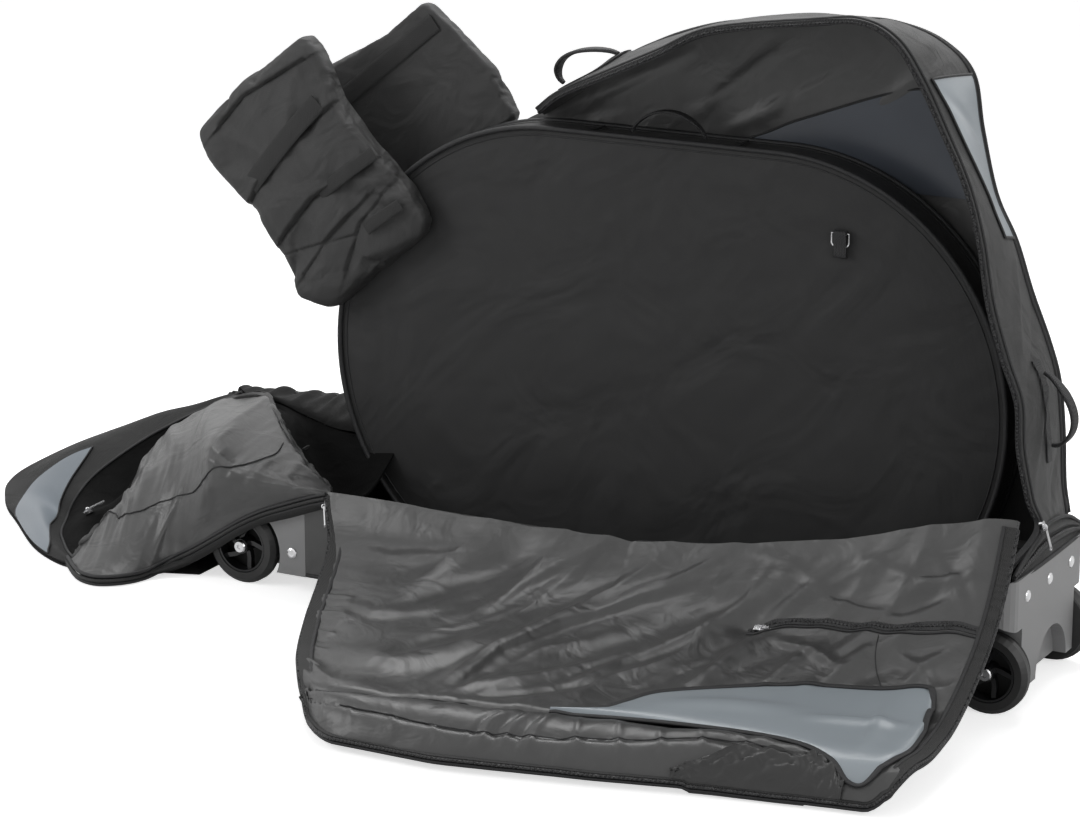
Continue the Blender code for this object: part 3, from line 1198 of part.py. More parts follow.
def make_sliders():
    top, low = (panel_point(0, share) for share in LEFT_ZIP_SHARES)
    outward = (low - top).cross(Vector((0, 0, 1))).normalized()
    outward *= -math.copysign(1, outward.x)
    place = top.lerp(low, LEFT_SLIDER_SHARE) + outward * PANEL_ZIP_GAP
    place.z -= PANEL_THICKNESS / 2
    make_slider("left_zip", frame_matrix(place, top - low, outward), 0)
    low, high = (hood_point(s, RIGHT_ZIP_ACROSS_SHARE) for s in RIGHT_ZIP_SHARES)
    out = hood_normal(RIGHT_ZIP_SHARES[0])
    make_slider("right_zip", frame_matrix(low + out * EDGE_ZIP_GAP, high - low, out), 0)
    (across, out), (end_across, end_out) = PANEL_POCKET_ZIP_SHARES
    start, end = panel_point(across, out), panel_point(end_across, end_out)
    step = 1 / PANEL_COLUMNS
    up = (panel_point(across, out - step) - panel_point(across, out + step)).cross(start - end)
    make_pocket_slider("panel_pocket", start, end, up)
    lining = fallen_rows()
    (row, column), (end_row, end_column) = END_POCKET_ZIP
    start, end = lining[row][column], lining[end_row][end_column]
    up = (lining[row][column + 1] - lining[row][column - 1]).cross(start - end)
    make_pocket_slider("end_pocket", start, end, up)


def make_pocket_slider(name, start, end, up):
    """A slider at the start of a pocket's zip, held off a cloth whose normal is up."""
    up = up.normalized() * math.copysign(1, up.z)
    make_slider(name, frame_matrix(start + up * POCKET_ZIP_GAP, start - end, up), 0)


make_tray()
make_cap("end_cap_left", -1)
make_cap("end_cap_right", 1)
make_wheels()
make_pocket()
make_far_wall()
make_hood()
make_side_panel()
make_fallen_end()
make_end_gusset()
make_handlebar_cover()
make_handle("top_handle", TOP_HANDLE_SHARES, TOP_HANDLE_RISE)
make_handle("end_handle", END_HANDLE_SHARES, END_HANDLE_RISE)
make_ring()
make_sliders()
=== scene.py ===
import math

import bpy
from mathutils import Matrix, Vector, noise


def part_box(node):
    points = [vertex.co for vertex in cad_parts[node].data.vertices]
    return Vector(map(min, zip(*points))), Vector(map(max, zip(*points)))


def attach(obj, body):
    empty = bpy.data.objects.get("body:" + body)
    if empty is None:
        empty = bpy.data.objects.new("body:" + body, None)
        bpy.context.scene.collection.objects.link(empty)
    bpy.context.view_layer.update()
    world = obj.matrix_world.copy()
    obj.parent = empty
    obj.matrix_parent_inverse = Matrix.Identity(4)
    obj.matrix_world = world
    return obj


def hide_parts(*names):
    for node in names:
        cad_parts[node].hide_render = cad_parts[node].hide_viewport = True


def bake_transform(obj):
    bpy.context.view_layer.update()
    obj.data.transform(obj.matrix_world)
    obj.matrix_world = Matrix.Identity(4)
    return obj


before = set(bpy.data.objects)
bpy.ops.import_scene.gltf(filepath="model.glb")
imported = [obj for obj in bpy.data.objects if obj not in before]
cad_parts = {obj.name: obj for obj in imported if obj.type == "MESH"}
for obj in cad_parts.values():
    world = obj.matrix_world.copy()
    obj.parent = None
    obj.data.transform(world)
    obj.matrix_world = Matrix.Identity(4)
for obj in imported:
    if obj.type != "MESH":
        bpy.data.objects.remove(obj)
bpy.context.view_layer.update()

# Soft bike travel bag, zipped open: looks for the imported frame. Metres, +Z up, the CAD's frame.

scene = bpy.context.scene

# Middle of the base, between the four wheels. All places below are measured from it, so the bag
# stays on its frame if the part's own origin moves.
left_cap, right_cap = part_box("end_cap_left"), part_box("end_cap_right")
middle = Vector(((left_cap[0].x + right_cap[1].x) / 2, (left_cap[0].y + left_cap[1].y) / 2, 0))
half_base, half_width = (right_cap[1].x - left_cap[0].x) / 2, (left_cap[1].y - left_cap[0].y) / 2


def at(x, y, z):
    """A place measured from the middle of the base, on the floor."""
    return middle + Vector((x, y, z))


# Camera: three-quarter view from the near left, a little above the bag, with a long lens as in
# a catalogue picture.
turn, tip, distance = math.radians(28.121), math.radians(15.893), 5.5785
back = Vector((math.sin(turn) * math.cos(tip), -math.cos(turn) * math.cos(tip), math.sin(tip)))
bpy.ops.object.camera_add(location=at(-0.166, 0, 0.300) + back * distance)
camera = bpy.context.object
camera.rotation_euler = back.to_track_quat("Z", "Y").to_euler()
camera.data.lens = 122.22
camera.data.sensor_width = 36.0
scene.camera = camera
scene.view_settings.view_transform = "Standard"

# Studio: a pale floor and a white backdrop that only the camera and shiny surfaces see, with
# one broad lamp overhead, one at the front left and a weaker one at the front right.
world = bpy.data.worlds.new("studio")
scene.world = world
world.use_nodes = True
nodes, links = world.node_tree.nodes, world.node_tree.links
background = nodes["Background"]
path = nodes.new("ShaderNodeLightPath")
seen = path.outputs["Is Camera Ray"]
for ray in ("Is Transmission Ray", "Is Glossy Ray"):
    either = nodes.new("ShaderNodeMath")
    either.operation = "MAXIMUM"
    links.new(seen, either.inputs[0])
    links.new(path.outputs[ray], either.inputs[1])
    seen = either.outputs[0]
strength = nodes.new("ShaderNodeMapRange")
strength.inputs["To Min"].default_value = 0.34
strength.inputs["To Max"].default_value = 1.0
links.new(seen, strength.inputs["Value"])
links.new(strength.outputs["Result"], background.inputs["Strength"])
background.inputs["Color"].default_value = (1, 1, 1, 1)


def hang_lamp(name, place, aim, size, power):
    """A square or oblong lamp at a place, turned to what it lights."""
    bpy.ops.object.light_add(type="AREA", location=place)
    lamp = bpy.context.object
    lamp.name = name
    lamp.rotation_euler = (place - aim).to_track_quat("Z", "Y").to_euler()
    lamp.data.shape = "RECTANGLE"
    lamp.data.size, lamp.data.size_y = size
    lamp.data.energy = power


hang_lamp("overhead_lamp", at(-0.3, 0.9, 2.4), at(0, -0.1, 0.2), (2.6, 1.2), 46)
hang_lamp("front_lamp", at(-2.2, -1.6, 1.5), at(-0.1, 0, 0.25), (1.2, 1.2), 20)
hang_lamp("side_lamp", at(2.4, -1.2, 1.2), at(0.2, 0, 0.35), (1.0, 1.4), 12)

bpy.ops.mesh.primitive_plane_add(size=60, location=at(0, 0, 0))
floor = bpy.context.object
floor.name = "floor"
floor_paint = bpy.data.materials.new("pale_floor")
floor_paint.use_nodes = True
nodes, links = floor_paint.node_tree.nodes, floor_paint.node_tree.links
shade = nodes["Principled BSDF"]
shade.inputs["Base Color"].default_value = (0.98, 0.98, 0.98, 1)
shade.inputs["Roughness"].default_value = 0.8
shade.inputs["Specular IOR Level"].default_value = 0.15
shade.inputs["Emission Color"].default_value = (1, 1, 1, 1)
path = nodes.new("ShaderNodeLightPath")
glow = nodes.new("ShaderNodeMath")
glow.operation = "MULTIPLY"
glow.inputs[1].default_value = 0.65
links.new(path.outputs["Is Camera Ray"], glow.inputs[0])
links.new(glow.outputs[0], shade.inputs["Emission Strength"])
floor.data.materials.append(floor_paint)


# Wheel compartment: a padded box with round ends for the two bicycle wheels. Its faces are foam
# between black cloths, sewn to a band with piping; a zipped lid in the band opens its top.
def new_group(name, inputs, outputs):
    """An empty effect with named inputs and outputs."""
    group = bpy.data.node_groups.new(name, "ShaderNodeTree")
    for label, kind, value in inputs:
        socket = group.interface.new_socket(label, in_out="INPUT", socket_type=kind)
        if value is not None:
            socket.default_value = value
    for label, kind in outputs:
        group.interface.new_socket(label, in_out="OUTPUT", socket_type=kind)
    return group, group.nodes.new("NodeGroupInput"), group.nodes.new("NodeGroupOutput")


FLOAT, VECTOR = "NodeSocketFloat", "NodeSocketVector"


def work_out(tree, operation, *values):
    """A Math node on numbers or sockets; gives its output."""
    node = tree.nodes.new("ShaderNodeMath")
    node.operation = operation
    for socket, value in zip(node.inputs, values):
        if isinstance(value, (int, float)):
            socket.default_value = value
        else:
            tree.links.new(value, socket)
    return node.outputs[0]


weave, put_in, put_out = new_group("weave", [("Vector", VECTOR, None), ("Thread", FLOAT, 0.0009)],
                                   [("Height", FLOAT)])
axes = weave.nodes.new("ShaderNodeSeparateXYZ")
weave.links.new(put_in.outputs["Vector"], axes.inputs[0])
pitch = work_out(weave, "DIVIDE", math.pi, put_in.outputs["Thread"])
waves = [work_out(weave, "SINE", work_out(weave, "MULTIPLY", axes.outputs[axis], pitch))
         for axis in ("X", "Y", "Z")]
weave.links.new(work_out(weave, "MULTIPLY", waves[0], work_out(weave, "ADD", waves[1], waves[2])),
                put_out.inputs["Height"])

creases, put_in, put_out = new_group(
    "creases", [("Vector", VECTOR, None), ("Scale", FLOAT, 9.0), ("Stretch", VECTOR, (1, 3, 3))],
    [("Height", FLOAT), ("Rub", FLOAT)])
shape = creases.nodes.new("ShaderNodeMapping")
creases.links.new(put_in.outputs["Vector"], shape.inputs["Vector"])
creases.links.new(put_in.outputs["Stretch"], shape.inputs["Scale"])
ripple = creases.nodes.new("ShaderNodeTexNoise")
ripple.inputs["Detail"].default_value = 2.5
ripple.inputs["Distortion"].default_value = 0.9
creases.links.new(shape.outputs[0], ripple.inputs["Vector"])
creases.links.new(put_in.outputs["Scale"], ripple.inputs["Scale"])
creases.links.new(ripple.outputs["Fac"], put_out.inputs["Height"])
rub = creases.nodes.new("ShaderNodeTexNoise")
rub.inputs["Scale"].default_value = 40
rub.inputs["Detail"].default_value = 4
creases.links.new(put_in.outputs["Vector"], rub.inputs["Vector"])
creases.links.new(rub.outputs["Fac"], put_out.inputs["Rub"])


def dye_cloth(name, colour, roughness, thread, crease, stretch=(1, 3, 3), shine=0.5):
    """A cloth, slightly uneven in colour and gloss. Its thread has a width and a depth of relief,
    and its creases have a scale and a depth."""
    cloth = bpy.data.materials.new(name)
    cloth.use_nodes = True
    tree = cloth.node_tree
    shader = tree.nodes["Principled BSDF"]
    shader.inputs["Specular IOR Level"].default_value = shine
    where = tree.nodes.new("ShaderNodeTexCoord")
    turned = tree.nodes.new("ShaderNodeMapping")
    turned.inputs["Rotation"].default_value = (0.3, 0.6, 0.6)
    tree.links.new(where.outputs["Object"], turned.inputs["Vector"])
    threads = tree.nodes.new("ShaderNodeGroup")
    threads.node_tree = weave
    threads.inputs["Thread"].default_value = thread[0]
    tree.links.new(where.outputs["Object"], threads.inputs["Vector"])
    folds = tree.nodes.new("ShaderNodeGroup")
    folds.node_tree = creases
    folds.inputs["Scale"].default_value = crease[0]
    folds.inputs["Stretch"].default_value = stretch
    tree.links.new(turned.outputs[0], folds.inputs["Vector"])
    before = None
    for height, distance in ((folds.outputs["Height"], crease[1]),
                             (threads.outputs["Height"], thread[1])):
        relief = tree.nodes.new("ShaderNodeBump")
        relief.inputs["Distance"].default_value = distance
        tree.links.new(height, relief.inputs["Height"])
        if before:
            tree.links.new(before.outputs["Normal"], relief.inputs["Normal"])
        before = relief
    tree.links.new(before.outputs["Normal"], shader.inputs["Normal"])
    tint = tree.nodes.new("ShaderNodeMix")
    tint.data_type = "RGBA"
    tint.inputs["A"].default_value = (*[0.84 * c for c in colour], 1)
    tint.inputs["B"].default_value = (*[1.16 * c for c in colour], 1)
    tree.links.new(folds.outputs["Rub"], tint.inputs["Factor"])
    tree.links.new(tint.outputs["Result"], shader.inputs["Base Color"])
    dull = tree.nodes.new("ShaderNodeMapRange")
    dull.inputs["To Min"].default_value = roughness - 0.08
    dull.inputs["To Max"].default_value = roughness + 0.08
    tree.links.new(folds.outputs["Rub"], dull.inputs["Value"])
    tree.links.new(dull.outputs["Result"], shader.inputs["Roughness"])
    return cloth


pad_cloth = dye_cloth("compartment_cloth", (0.0165, 0.0165, 0.0168), 0.72, (0.0009, 0.0001),
                      (5, 0.012), stretch=(1, 1.6, 1.6))
binding = dye_cloth("edge_binding", (0.010, 0.010, 0.011), 0.60, (0.0012, 0.00015), (30, 0.001))


def lay_cloth(name, columns, rows, place):
    """Cuts a grid of cloth and lays each of its points at place(u, v), u and v from 0 to 1."""
    bpy.ops.object.select_all(action="DESELECT")
    bpy.ops.mesh.primitive_grid_add(x_subdivisions=columns, y_subdivisions=rows, size=1)
    cloth = bpy.context.object
    cloth.name = name
    for vertex in cloth.data.vertices:
        vertex.co = place(vertex.co.x + 0.5, vertex.co.y + 0.5)
    return cloth


def join_points(gap, outward=False):
    """Joins those points of the active piece that lie closer together than the gap."""
    bpy.ops.object.mode_set(mode="EDIT")
    bpy.ops.mesh.select_all(action="SELECT")
    bpy.ops.mesh.remove_doubles(threshold=gap)
    if outward:
        bpy.ops.mesh.normals_make_consistent(inside=False)
    bpy.ops.object.mode_set(mode="OBJECT")


def shade_smooth(piece, angle):
    """Shades a piece smooth, apart from edges that turn by more than the angle in degrees."""
    bpy.ops.object.select_all(action="DESELECT")
    piece.select_set(True)
    bpy.ops.object.shade_smooth_by_angle(angle=math.radians(angle))


def back_cloth(cloth, thickness, materials, offset=-1.0, angle=50):
    """Joins a laid cloth's meeting edges and gives it thickness, a back and a bound rim."""
    bpy.context.view_layer.objects.active = cloth
    join_points(0.0003)
    for material in materials:
        cloth.data.materials.append(material)
    wall = cloth.modifiers.new("wall", "SOLIDIFY")
    wall.thickness = thickness
    wall.offset = offset
    wall.material_offset = min(1, len(materials) - 1)
    wall.material_offset_rim = len(materials) - 1
    bpy.ops.object.modifier_apply(modifier=wall.name)
    shade_smooth(cloth, angle)
    return cloth


def sew_cord(name, points, radius, material, body=None, slot=None, closed=False):
    """A round cord, thread or piping along points."""
    curve = bpy.data.curves.new(name, "CURVE")
    curve.dimensions = "3D"
    curve.bevel_depth = radius
    curve.bevel_resolution = 2
    curve.use_fill_caps = not closed
    spline = curve.splines.new("POLY")
    spline.points.add(len(points) - 1)
    for point, place in zip(spline.points, points):
        point.co = (*place, 1)
    spline.use_cyclic_u = closed
    cord = bpy.data.objects.new(name, curve)
    scene.collection.objects.link(cord)
    bpy.ops.object.select_all(action="DESELECT")
    cord.select_set(True)
    bpy.context.view_layer.objects.active = cord
    bpy.ops.object.convert(target="MESH")
    cord = bpy.context.object
    cord.data.materials.append(material)
    bpy.ops.object.shade_smooth()
    if body:
        go_with(cord, body, slot)
    return cord


def go_with(piece, body, slot, *nodes, fill=None):
    """Ties a piece to its body; its finish is not used; nodes are the solids that it stands for,
    which it hides.
    """
    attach(piece, body)
    if nodes:
        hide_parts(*nodes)
    return piece


box_low, box_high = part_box("wheel_pocket_front")
box_near, box_back = box_low.y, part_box("wheel_pocket_back")[1].y
box_radius, box_half = 0.375, box_high.x - middle.x
lid_low, lid_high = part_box("wheel_pocket_lid")
lid_half = (lid_high.x - lid_low.x) / 2


def outline_lengths(inset=0.0):
    """Half the compartment's outline: its straight top, its round end and its straight foot."""
    arm, radius = box_half - box_radius, box_radius - inset
    foot = math.asin((box_low.z + inset - box_high.z + box_radius) / radius)
    return arm, radius * (math.pi / 2 - foot), arm + radius * math.cos(foot)


def round_box(run, y, inset=0.0):
    """A place on the compartment's outline, run once round it from the middle of the lid."""
    radius, height = box_radius - inset, box_high.z - box_radius
    arm, arc, foot_x = outline_lengths(inset)
    side = 1 if run < 0.5 else -1
    far = min(run, 1 - run) * 2 * (arm + arc + foot_x)
    if far < arm:
        x, z = far, height + radius
    elif far < arm + arc:
        angle = math.pi / 2 - (far - arm) / radius
        x, z = arm + radius * math.cos(angle), height + radius * math.sin(angle)
    else:
        x, z = max(foot_x - (far - arm - arc), 0), box_low.z + inset
    return Vector((middle.x + side * x, y, z))


def quilt(run, out, y, away):
    """A face of the compartment: run round it, out from its middle line to its piped edge."""
    rim = round_box(run, y)
    arm = box_half - box_radius
    heart = Vector((min(max(rim.x, middle.x - arm), middle.x + arm), y, box_high.z - box_radius))
    spot = heart.lerp(rim, out)
    spot.y += away * (0.0005 + 0.006 * out ** 5
                      + 0.002 * (1 - out ** 4) * noise.noise(spot * 6 + Vector((0, away, 0))))
    return spot


face_thick, piping, stitch = 0.0085, 0.0042, 0.0011
for name, y, away in (("compartment_front", box_near, 1), ("compartment_back", box_back, -1)):
    face = lay_cloth(name, 192, 26, lambda u, v: quilt(u if away > 0 else 1 - u, v, y, away))
    back_cloth(face, face_thick, [pad_cloth])
    go_with(face, "base", "pocket_fabric", name.replace("compartment", "wheel_pocket"), fill=0.8)
    rim = [round_box(k / 240, y + away * 0.004, 0.0005) for k in range(240)]
    sew_cord(name + "_piping", rim, piping, binding, "base", "pocket_fabric", closed=True)
    seam = [quilt(k / 240, 0.968, y - away * 0.0004, away) for k in range(240)]
    sew_cord(name + "_seam", seam, stitch, binding, "base", "pocket_fabric", closed=True)

band_low, band_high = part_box("wheel_pocket_band")
gap = (lid_half + 0.002) / (2 * sum(outline_lengths()))
band = lay_cloth("compartment_band", 200, 6, lambda u, v: round_box(
    gap + (1 - 2 * gap) * u, band_low.y + (band_high.y - band_low.y) * v,
    0.0005 + 0.003 * math.sin(math.pi * v)))
back_cloth(band, 0.009, [pad_cloth])
go_with(band, "base", "pocket_fabric", "wheel_pocket_band", fill=0.5)

lid = lay_cloth("compartment_lid", 40, 8, lambda u, v: Vector((
    lid_low.x + 2 * lid_half * u, lid_low.y + (lid_high.y - lid_low.y) * v,
    lid_high.z - 0.003 + 0.003 * (math.sin(math.pi * v) * math.sin(math.pi * u)) ** 0.4)))
back_cloth(lid, 0.007, [pad_cloth])
go_with(lid, "pocket_lid", "pocket_fabric", "wheel_pocket_lid", fill=0.5)
zip_run = [(lid_low.x + 0.002, lid_high.y - 0.003), (lid_low.x + 0.002, lid_low.y + 0.003),
           (lid_high.x - 0.002, lid_low.y + 0.003), (lid_high.x - 0.002, lid_high.y - 0.003)]
sew_cord("lid_zip", [Vector((x, y, lid_high.z + 0.0002)) for x, y in zip_run], 0.0018, binding,
         "pocket_lid", "webbing")

# Handles: webbing folded narrow where it is sewn down and left wide in the hand. The one on the
# lid stands up; those on the hood are sewn over a base strap.
webbing = dye_cloth("strap_webbing", (0.018, 0.018, 0.019), 0.66, (0.0022, 0.0005), (24, 0.001))


def close_tube(tube, gap, material):
    """Joins a laid tube's seam, closes its two ends and turns its faces outward."""
    bpy.ops.object.mode_set(mode="EDIT")
    bpy.ops.mesh.select_all(action="SELECT")
    bpy.ops.mesh.remove_doubles(threshold=gap)
    bpy.ops.mesh.select_all(action="DESELECT")
    bpy.ops.mesh.select_non_manifold()
    bpy.ops.mesh.edge_face_add()
    bpy.ops.mesh.select_all(action="SELECT")
    bpy.ops.mesh.normals_make_consistent(inside=False)
    bpy.ops.object.mode_set(mode="OBJECT")
    tube.data.materials.append(material)
    bpy.ops.object.shade_smooth_by_angle(angle=math.radians(60))


def bend_strap(name, start, end, out, rise, lean, width, thickness, across, body, *nodes):
    """A loop of webbing on two feet, as the solid has it, with rounded edges."""
    points, halves = [], []
    for k in range(49):
        t = k / 48
        lift = math.sin(math.pi * t) ** 0.6
        points.append(start.lerp(end, t) + (end - start) * lean * lift
                      + out * (thickness / 2 + (rise - thickness) * lift))
        halves.append(width / 2 * min(1, 0.27 + lift))

    def place(u, v):
        k = min(int(round(u * 48)), 48)
        ahead = (points[min(k + 1, 48)] - points[max(k - 1, 0)]).normalized()
        side = (across - ahead * across.dot(ahead)).normalized()
        up = ahead.cross(side).normalized()
        angle = 2 * math.pi * v
        c, s = math.cos(angle), math.sin(angle)
        return (points[k] + side * halves[k] * math.copysign(abs(c) ** 0.35, c)
                + up * thickness / 2 * math.copysign(abs(s) ** 0.7, s))
    strap = lay_cloth(name, 48, 24, place)
    close_tube(strap, 0.0002, webbing)
    return go_with(strap, body, "webbing", *nodes)


lid_mid = Vector((middle.x, (lid_low.y + lid_high.y) / 2, lid_high.z - 0.0005))
reach = Vector((0.0605, 0, 0))
bend_strap("lid_loop", lid_mid - reach, lid_mid + reach, Vector((0, 0, 1)), 0.040, 0, 0.016,
           0.004, Vector((0, 1, 0)), "lid_handle", "lid_handle")

# Far wall and hood: the far side of the bag, a flat foam wall, and the gusset that curves off it
# to the zip. Coated black cloth outside and satin lining inside, with a pale inlaid panel.
satin = dye_cloth("satin_lining", (0.062, 0.062, 0.062), 0.33, (0.0006, 0.00002), (10, 0.0028),
                  stretch=(1, 2.2, 2.2))
outer_cloth = dye_cloth("outer_cloth", (0.026, 0.026, 0.026), 0.60, (0.0011, 0.00014), (8, 0.010),
                        stretch=(1, 2.0, 2.0))


def smooth_line(points, steps=8):
    """Points along a smooth curve through the given ones, which may lie in a plane."""
    points = [Vector((*p, 0)[:3]) for p in points]
    padded = [2 * points[0] - points[1]] + points + [2 * points[-1] - points[-2]]
    line = []
    for a, b, c, d in zip(padded, padded[1:], padded[2:], padded[3:]):
        for i in range(steps):
            t = i / steps
            line.append(0.5 * (2 * b + (c - a) * t + (2 * a - 5 * b + 4 * c - d) * t ** 2
                               + (3 * b - a - 3 * c + d) * t ** 3))
    return line + [points[-1]]


def along(line, share):
    """The place at a share of a line's points."""
    spot = min(max(share, 0), 1) * (len(line) - 1)
    k = min(int(spot), len(line) - 2)
    return line[k].lerp(line[k + 1], spot - k)


def folds_at(u, v, folds):
    """Height at (u, v) of folds, each a line from one place to another, a half width and a rise."""
    height = 0.0
    for (u0, v0), (u1, v1), width, rise in folds:
        du, dv = u1 - u0, v1 - v0
        length = math.hypot(du, dv)
        t = ((u - u0) * du + (v - v0) * dv) / length ** 2
        if 0 < t < 1:
            off = ((u - u0) * dv - (v - v0) * du) / length / width
            if abs(off) < 3:
                height += rise * math.exp(-off * off) * math.sin(math.pi * t) ** 0.7
    return height


wall_face, bag_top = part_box("far_wall")[0].y - middle.y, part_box("hood_gusset")[1].z
hood_deep = 0.186
far_shares = ((-0.352, 0.774), (-0.262, 0.816), (-0.108, 0.885), (0.044, 0.929),
              (0.191, 0.950), (0.433, 0.966), (0.545, 0.962), (0.635, 0.940),
              (0.700, 0.897), (0.725, 0.815), (0.762, 0.718), (0.812, 0.650),
              (0.852, 0.574), (0.897, 0.500), (0.924, 0.441), (0.938, 0.364),
              (0.945, 0.284), (0.956, 0.240), (0.964, 0.207), (0.964, 0.152))
zip_shares = ((-0.340, 0.784, 0.20), (-0.235, 0.828, 0.52), (-0.060, 0.882, 0.90),
              (0.076, 0.925, 1), (0.200, 0.966, 1), (0.420, 0.991, 1), (0.556, 1.000, 1),
              (0.640, 0.975, 1), (0.700, 0.920, 1), (0.755, 0.850, 1), (0.812, 0.770, 1),
              (0.847, 0.690, 1), (0.872, 0.600, 1), (0.909, 0.520, 1), (0.945, 0.455, 1),
              (0.953, 0.384, 1), (0.978, 0.310, 1), (0.998, 0.262, 1), (0.966, 0.207, 1.44),
              (0.964, 0.152, 1.44))
far_edge = smooth_line([at(x * half_base, wall_face - 0.0006, z * bag_top)
                        for x, z in far_shares])
zip_edge = smooth_line([at(x * half_base, wall_face - hood_deep * reach, z * bag_top)
                        for x, z, reach in zip_shares])


def hood_out(s):
    """Outward direction of the hood at a share of its length."""
    ahead = along(far_edge, s + 0.01) - along(far_edge, s - 0.01)
    return Vector((-ahead.z, 0, ahead.x)).normalized()


hood_folds = [((0.06, 0.1), (0.16, 0.95), 0.012, 0.004), ((0.12, 0.0), (0.22, 0.7), 0.010, -0.004),
              ((0.20, 0.2), (0.31, 1.0), 0.012, 0.004), ((0.27, 0.0), (0.33, 0.8), 0.010, -0.003),
              ((0.36, 0.1), (0.40, 0.9), 0.012, 0.003), ((0.43, 0.9), (0.49, 0.1), 0.010, -0.003),
              ((0.58, 0.1), (0.70, 0.85), 0.011, 0.004), ((0.64, 0.0), (0.74, 0.9), 0.010, -0.004),
              ((0.72, 0.3), (0.83, 0.9), 0.010, 0.003), ((0.80, 0.1), (0.88, 0.7), 0.010, -0.003)]


def hood_place(s, across):
    """A place on the hood's outside: s along its edges, across from the wall to the zip."""
    sag = 0.006 * math.sin(math.pi * across) + folds_at(s, across, hood_folds)
    wave = 0.002 * noise.noise(Vector((s * 26, across * 2.2, 1.7))) * math.sin(math.pi * across)
    return (along(far_edge, s).lerp(along(zip_edge, s), across)
            + hood_out(s) * (sag + wave))


hood = lay_cloth("hood", 260, 40, lambda u, v: hood_place(u, 1 - v))
back_cloth(hood, 0.0078, [outer_cloth, satin, binding])
go_with(hood, "base", "outer_fabric", "hood_gusset", fill=0.4)

# Zip along the hood's free edge: a tape with its coil, turned over the edge, and cords of binding
# sewn beside it and along the seam with the wall.
coil = dye_cloth("zip_coil", (0.014, 0.014, 0.015), 0.45, (0.0030, 0.0010), (30, 0.0005))
steps, tape_end = [k / 300 for k in range(301)], 0.87


def past_edge(s, out, down):
    """A place out past the hood's free edge, and down from its outside."""
    edge = hood_place(s, 1)
    return edge + (edge - hood_place(s, 0.9)).normalized() * out - hood_out(s) * down


tape = lay_cloth("hood_tape", 260, 4, lambda u, v: past_edge(
    u * tape_end, 0.0022, 0.0085 * v - 0.0005))
back_cloth(tape, 0.0012, [webbing], offset=0)
go_with(tape, "base", "webbing", "hood_zip_tape")
sew_cord("hood_coil", [past_edge(s * tape_end, 0.0032, 0.0045) for s in steps], 0.0017, coil,
         "base", "webbing")
for name, a, lift, radius in (("hood_edge_cord", 0.955, 0.0008, 0.0024),
                              ("hood_wall_cord", 0.012, 0.0006, 0.0030),
                              ("hood_inner_cord", 0.90, -0.0086, 0.0022)):
    run = [hood_place(s * 0.985, a) + hood_out(s * 0.985) * lift for s in steps]
    sew_cord(name, run, radius, binding, "base", "outer_fabric")


# Pale inlay sewn into the hood's outside: a coated sheet with a soft gloss, narrowing to a point
# at its top. The same finish, with other values, serves all inlays, plastics and bright metal.
def hard_finish(name, dark, light, dull, cloud, grain=None, metal=0.0):
    """A hard finish: two close shades in soft clouds, uneven gloss, and a fine grain in relief.
    The cloud has a scale and a detail; the grain has a pattern, a scale and a depth."""
    finish = bpy.data.materials.new(name)
    finish.use_nodes = True
    tree = finish.node_tree
    shader = tree.nodes["Principled BSDF"]
    shader.inputs["Metallic"].default_value = metal
    where = tree.nodes.new("ShaderNodeTexCoord")
    if grain:
        pattern, scale, depth = grain
        fine = tree.nodes.new(pattern)
        fine.inputs["Scale"].default_value = scale
        tree.links.new(where.outputs["Object"], fine.inputs["Vector"])
        relief = tree.nodes.new("ShaderNodeBump")
        relief.inputs["Distance"].default_value = depth
        tree.links.new(fine.outputs[0], relief.inputs["Height"])
        tree.links.new(relief.outputs["Normal"], shader.inputs["Normal"])
    clouds = tree.nodes.new("ShaderNodeTexNoise")
    clouds.inputs["Scale"].default_value, clouds.inputs["Detail"].default_value = cloud
    tree.links.new(where.outputs["Object"], clouds.inputs["Vector"])
    gloss = tree.nodes.new("ShaderNodeMapRange")
    gloss.inputs["To Min"].default_value, gloss.inputs["To Max"].default_value = dull
    tree.links.new(clouds.outputs["Fac"], gloss.inputs["Value"])
    tree.links.new(gloss.outputs["Result"], shader.inputs["Roughness"])
    tint = tree.nodes.new("ShaderNodeMix")
    tint.data_type = "RGBA"
    tint.inputs["A"].default_value = (*dark, 1)
    tint.inputs["B"].default_value = (*light, 1)
    tree.links.new(clouds.outputs["Fac"], tint.inputs["Factor"])
    tree.links.new(tint.outputs["Result"], shader.inputs["Base Color"])
    return finish


def coat(name, dark, light):
    """A coated inlay sheet: one soft gloss over its shades, and a fine grain of cells."""
    return hard_finish(name, dark, light, (0.27, 0.27), (7, 2),
                       ("ShaderNodeTexVoronoi", 620, 0.00008))


inlay = coat("coated_inlay", (0.300, 0.338, 0.368), (0.365, 0.405, 0.436))
hood_inlay_edge = smooth_line([(0.422, 0.86), (0.430, 0.840), (0.455, 0.790),
                               (0.485, 0.730), (0.510, 0.620), (0.535, 0.500),
                               (0.556, 0.455), (0.577, 0.430)], 12)


def raised_inlay(u, v):
    """A place on the inlay, just off the hood: u along its near edge, v out from the wall."""
    edge = along(hood_inlay_edge, u)
    return hood_place(edge.x, 0.018 + (edge.y - 0.018) * v) + hood_out(edge.x) * 0.0022


patch = lay_cloth("hood_inlay", 60, 24, lambda u, v: raised_inlay(u, 1 - v))
back_cloth(patch, 0.0018, [inlay])
go_with(patch, "base", "patch_sheet", "hood_patch")
rim = [raised_inlay(0, v / 12) for v in range(12)] + [raised_inlay(u / 60, 1) for u in range(61)]
rim += [raised_inlay(1, 1 - v / 12) for v in range(13)]
sew_cord("hood_inlay_cord", rim, 0.0021, binding, "base", "outer_fabric")

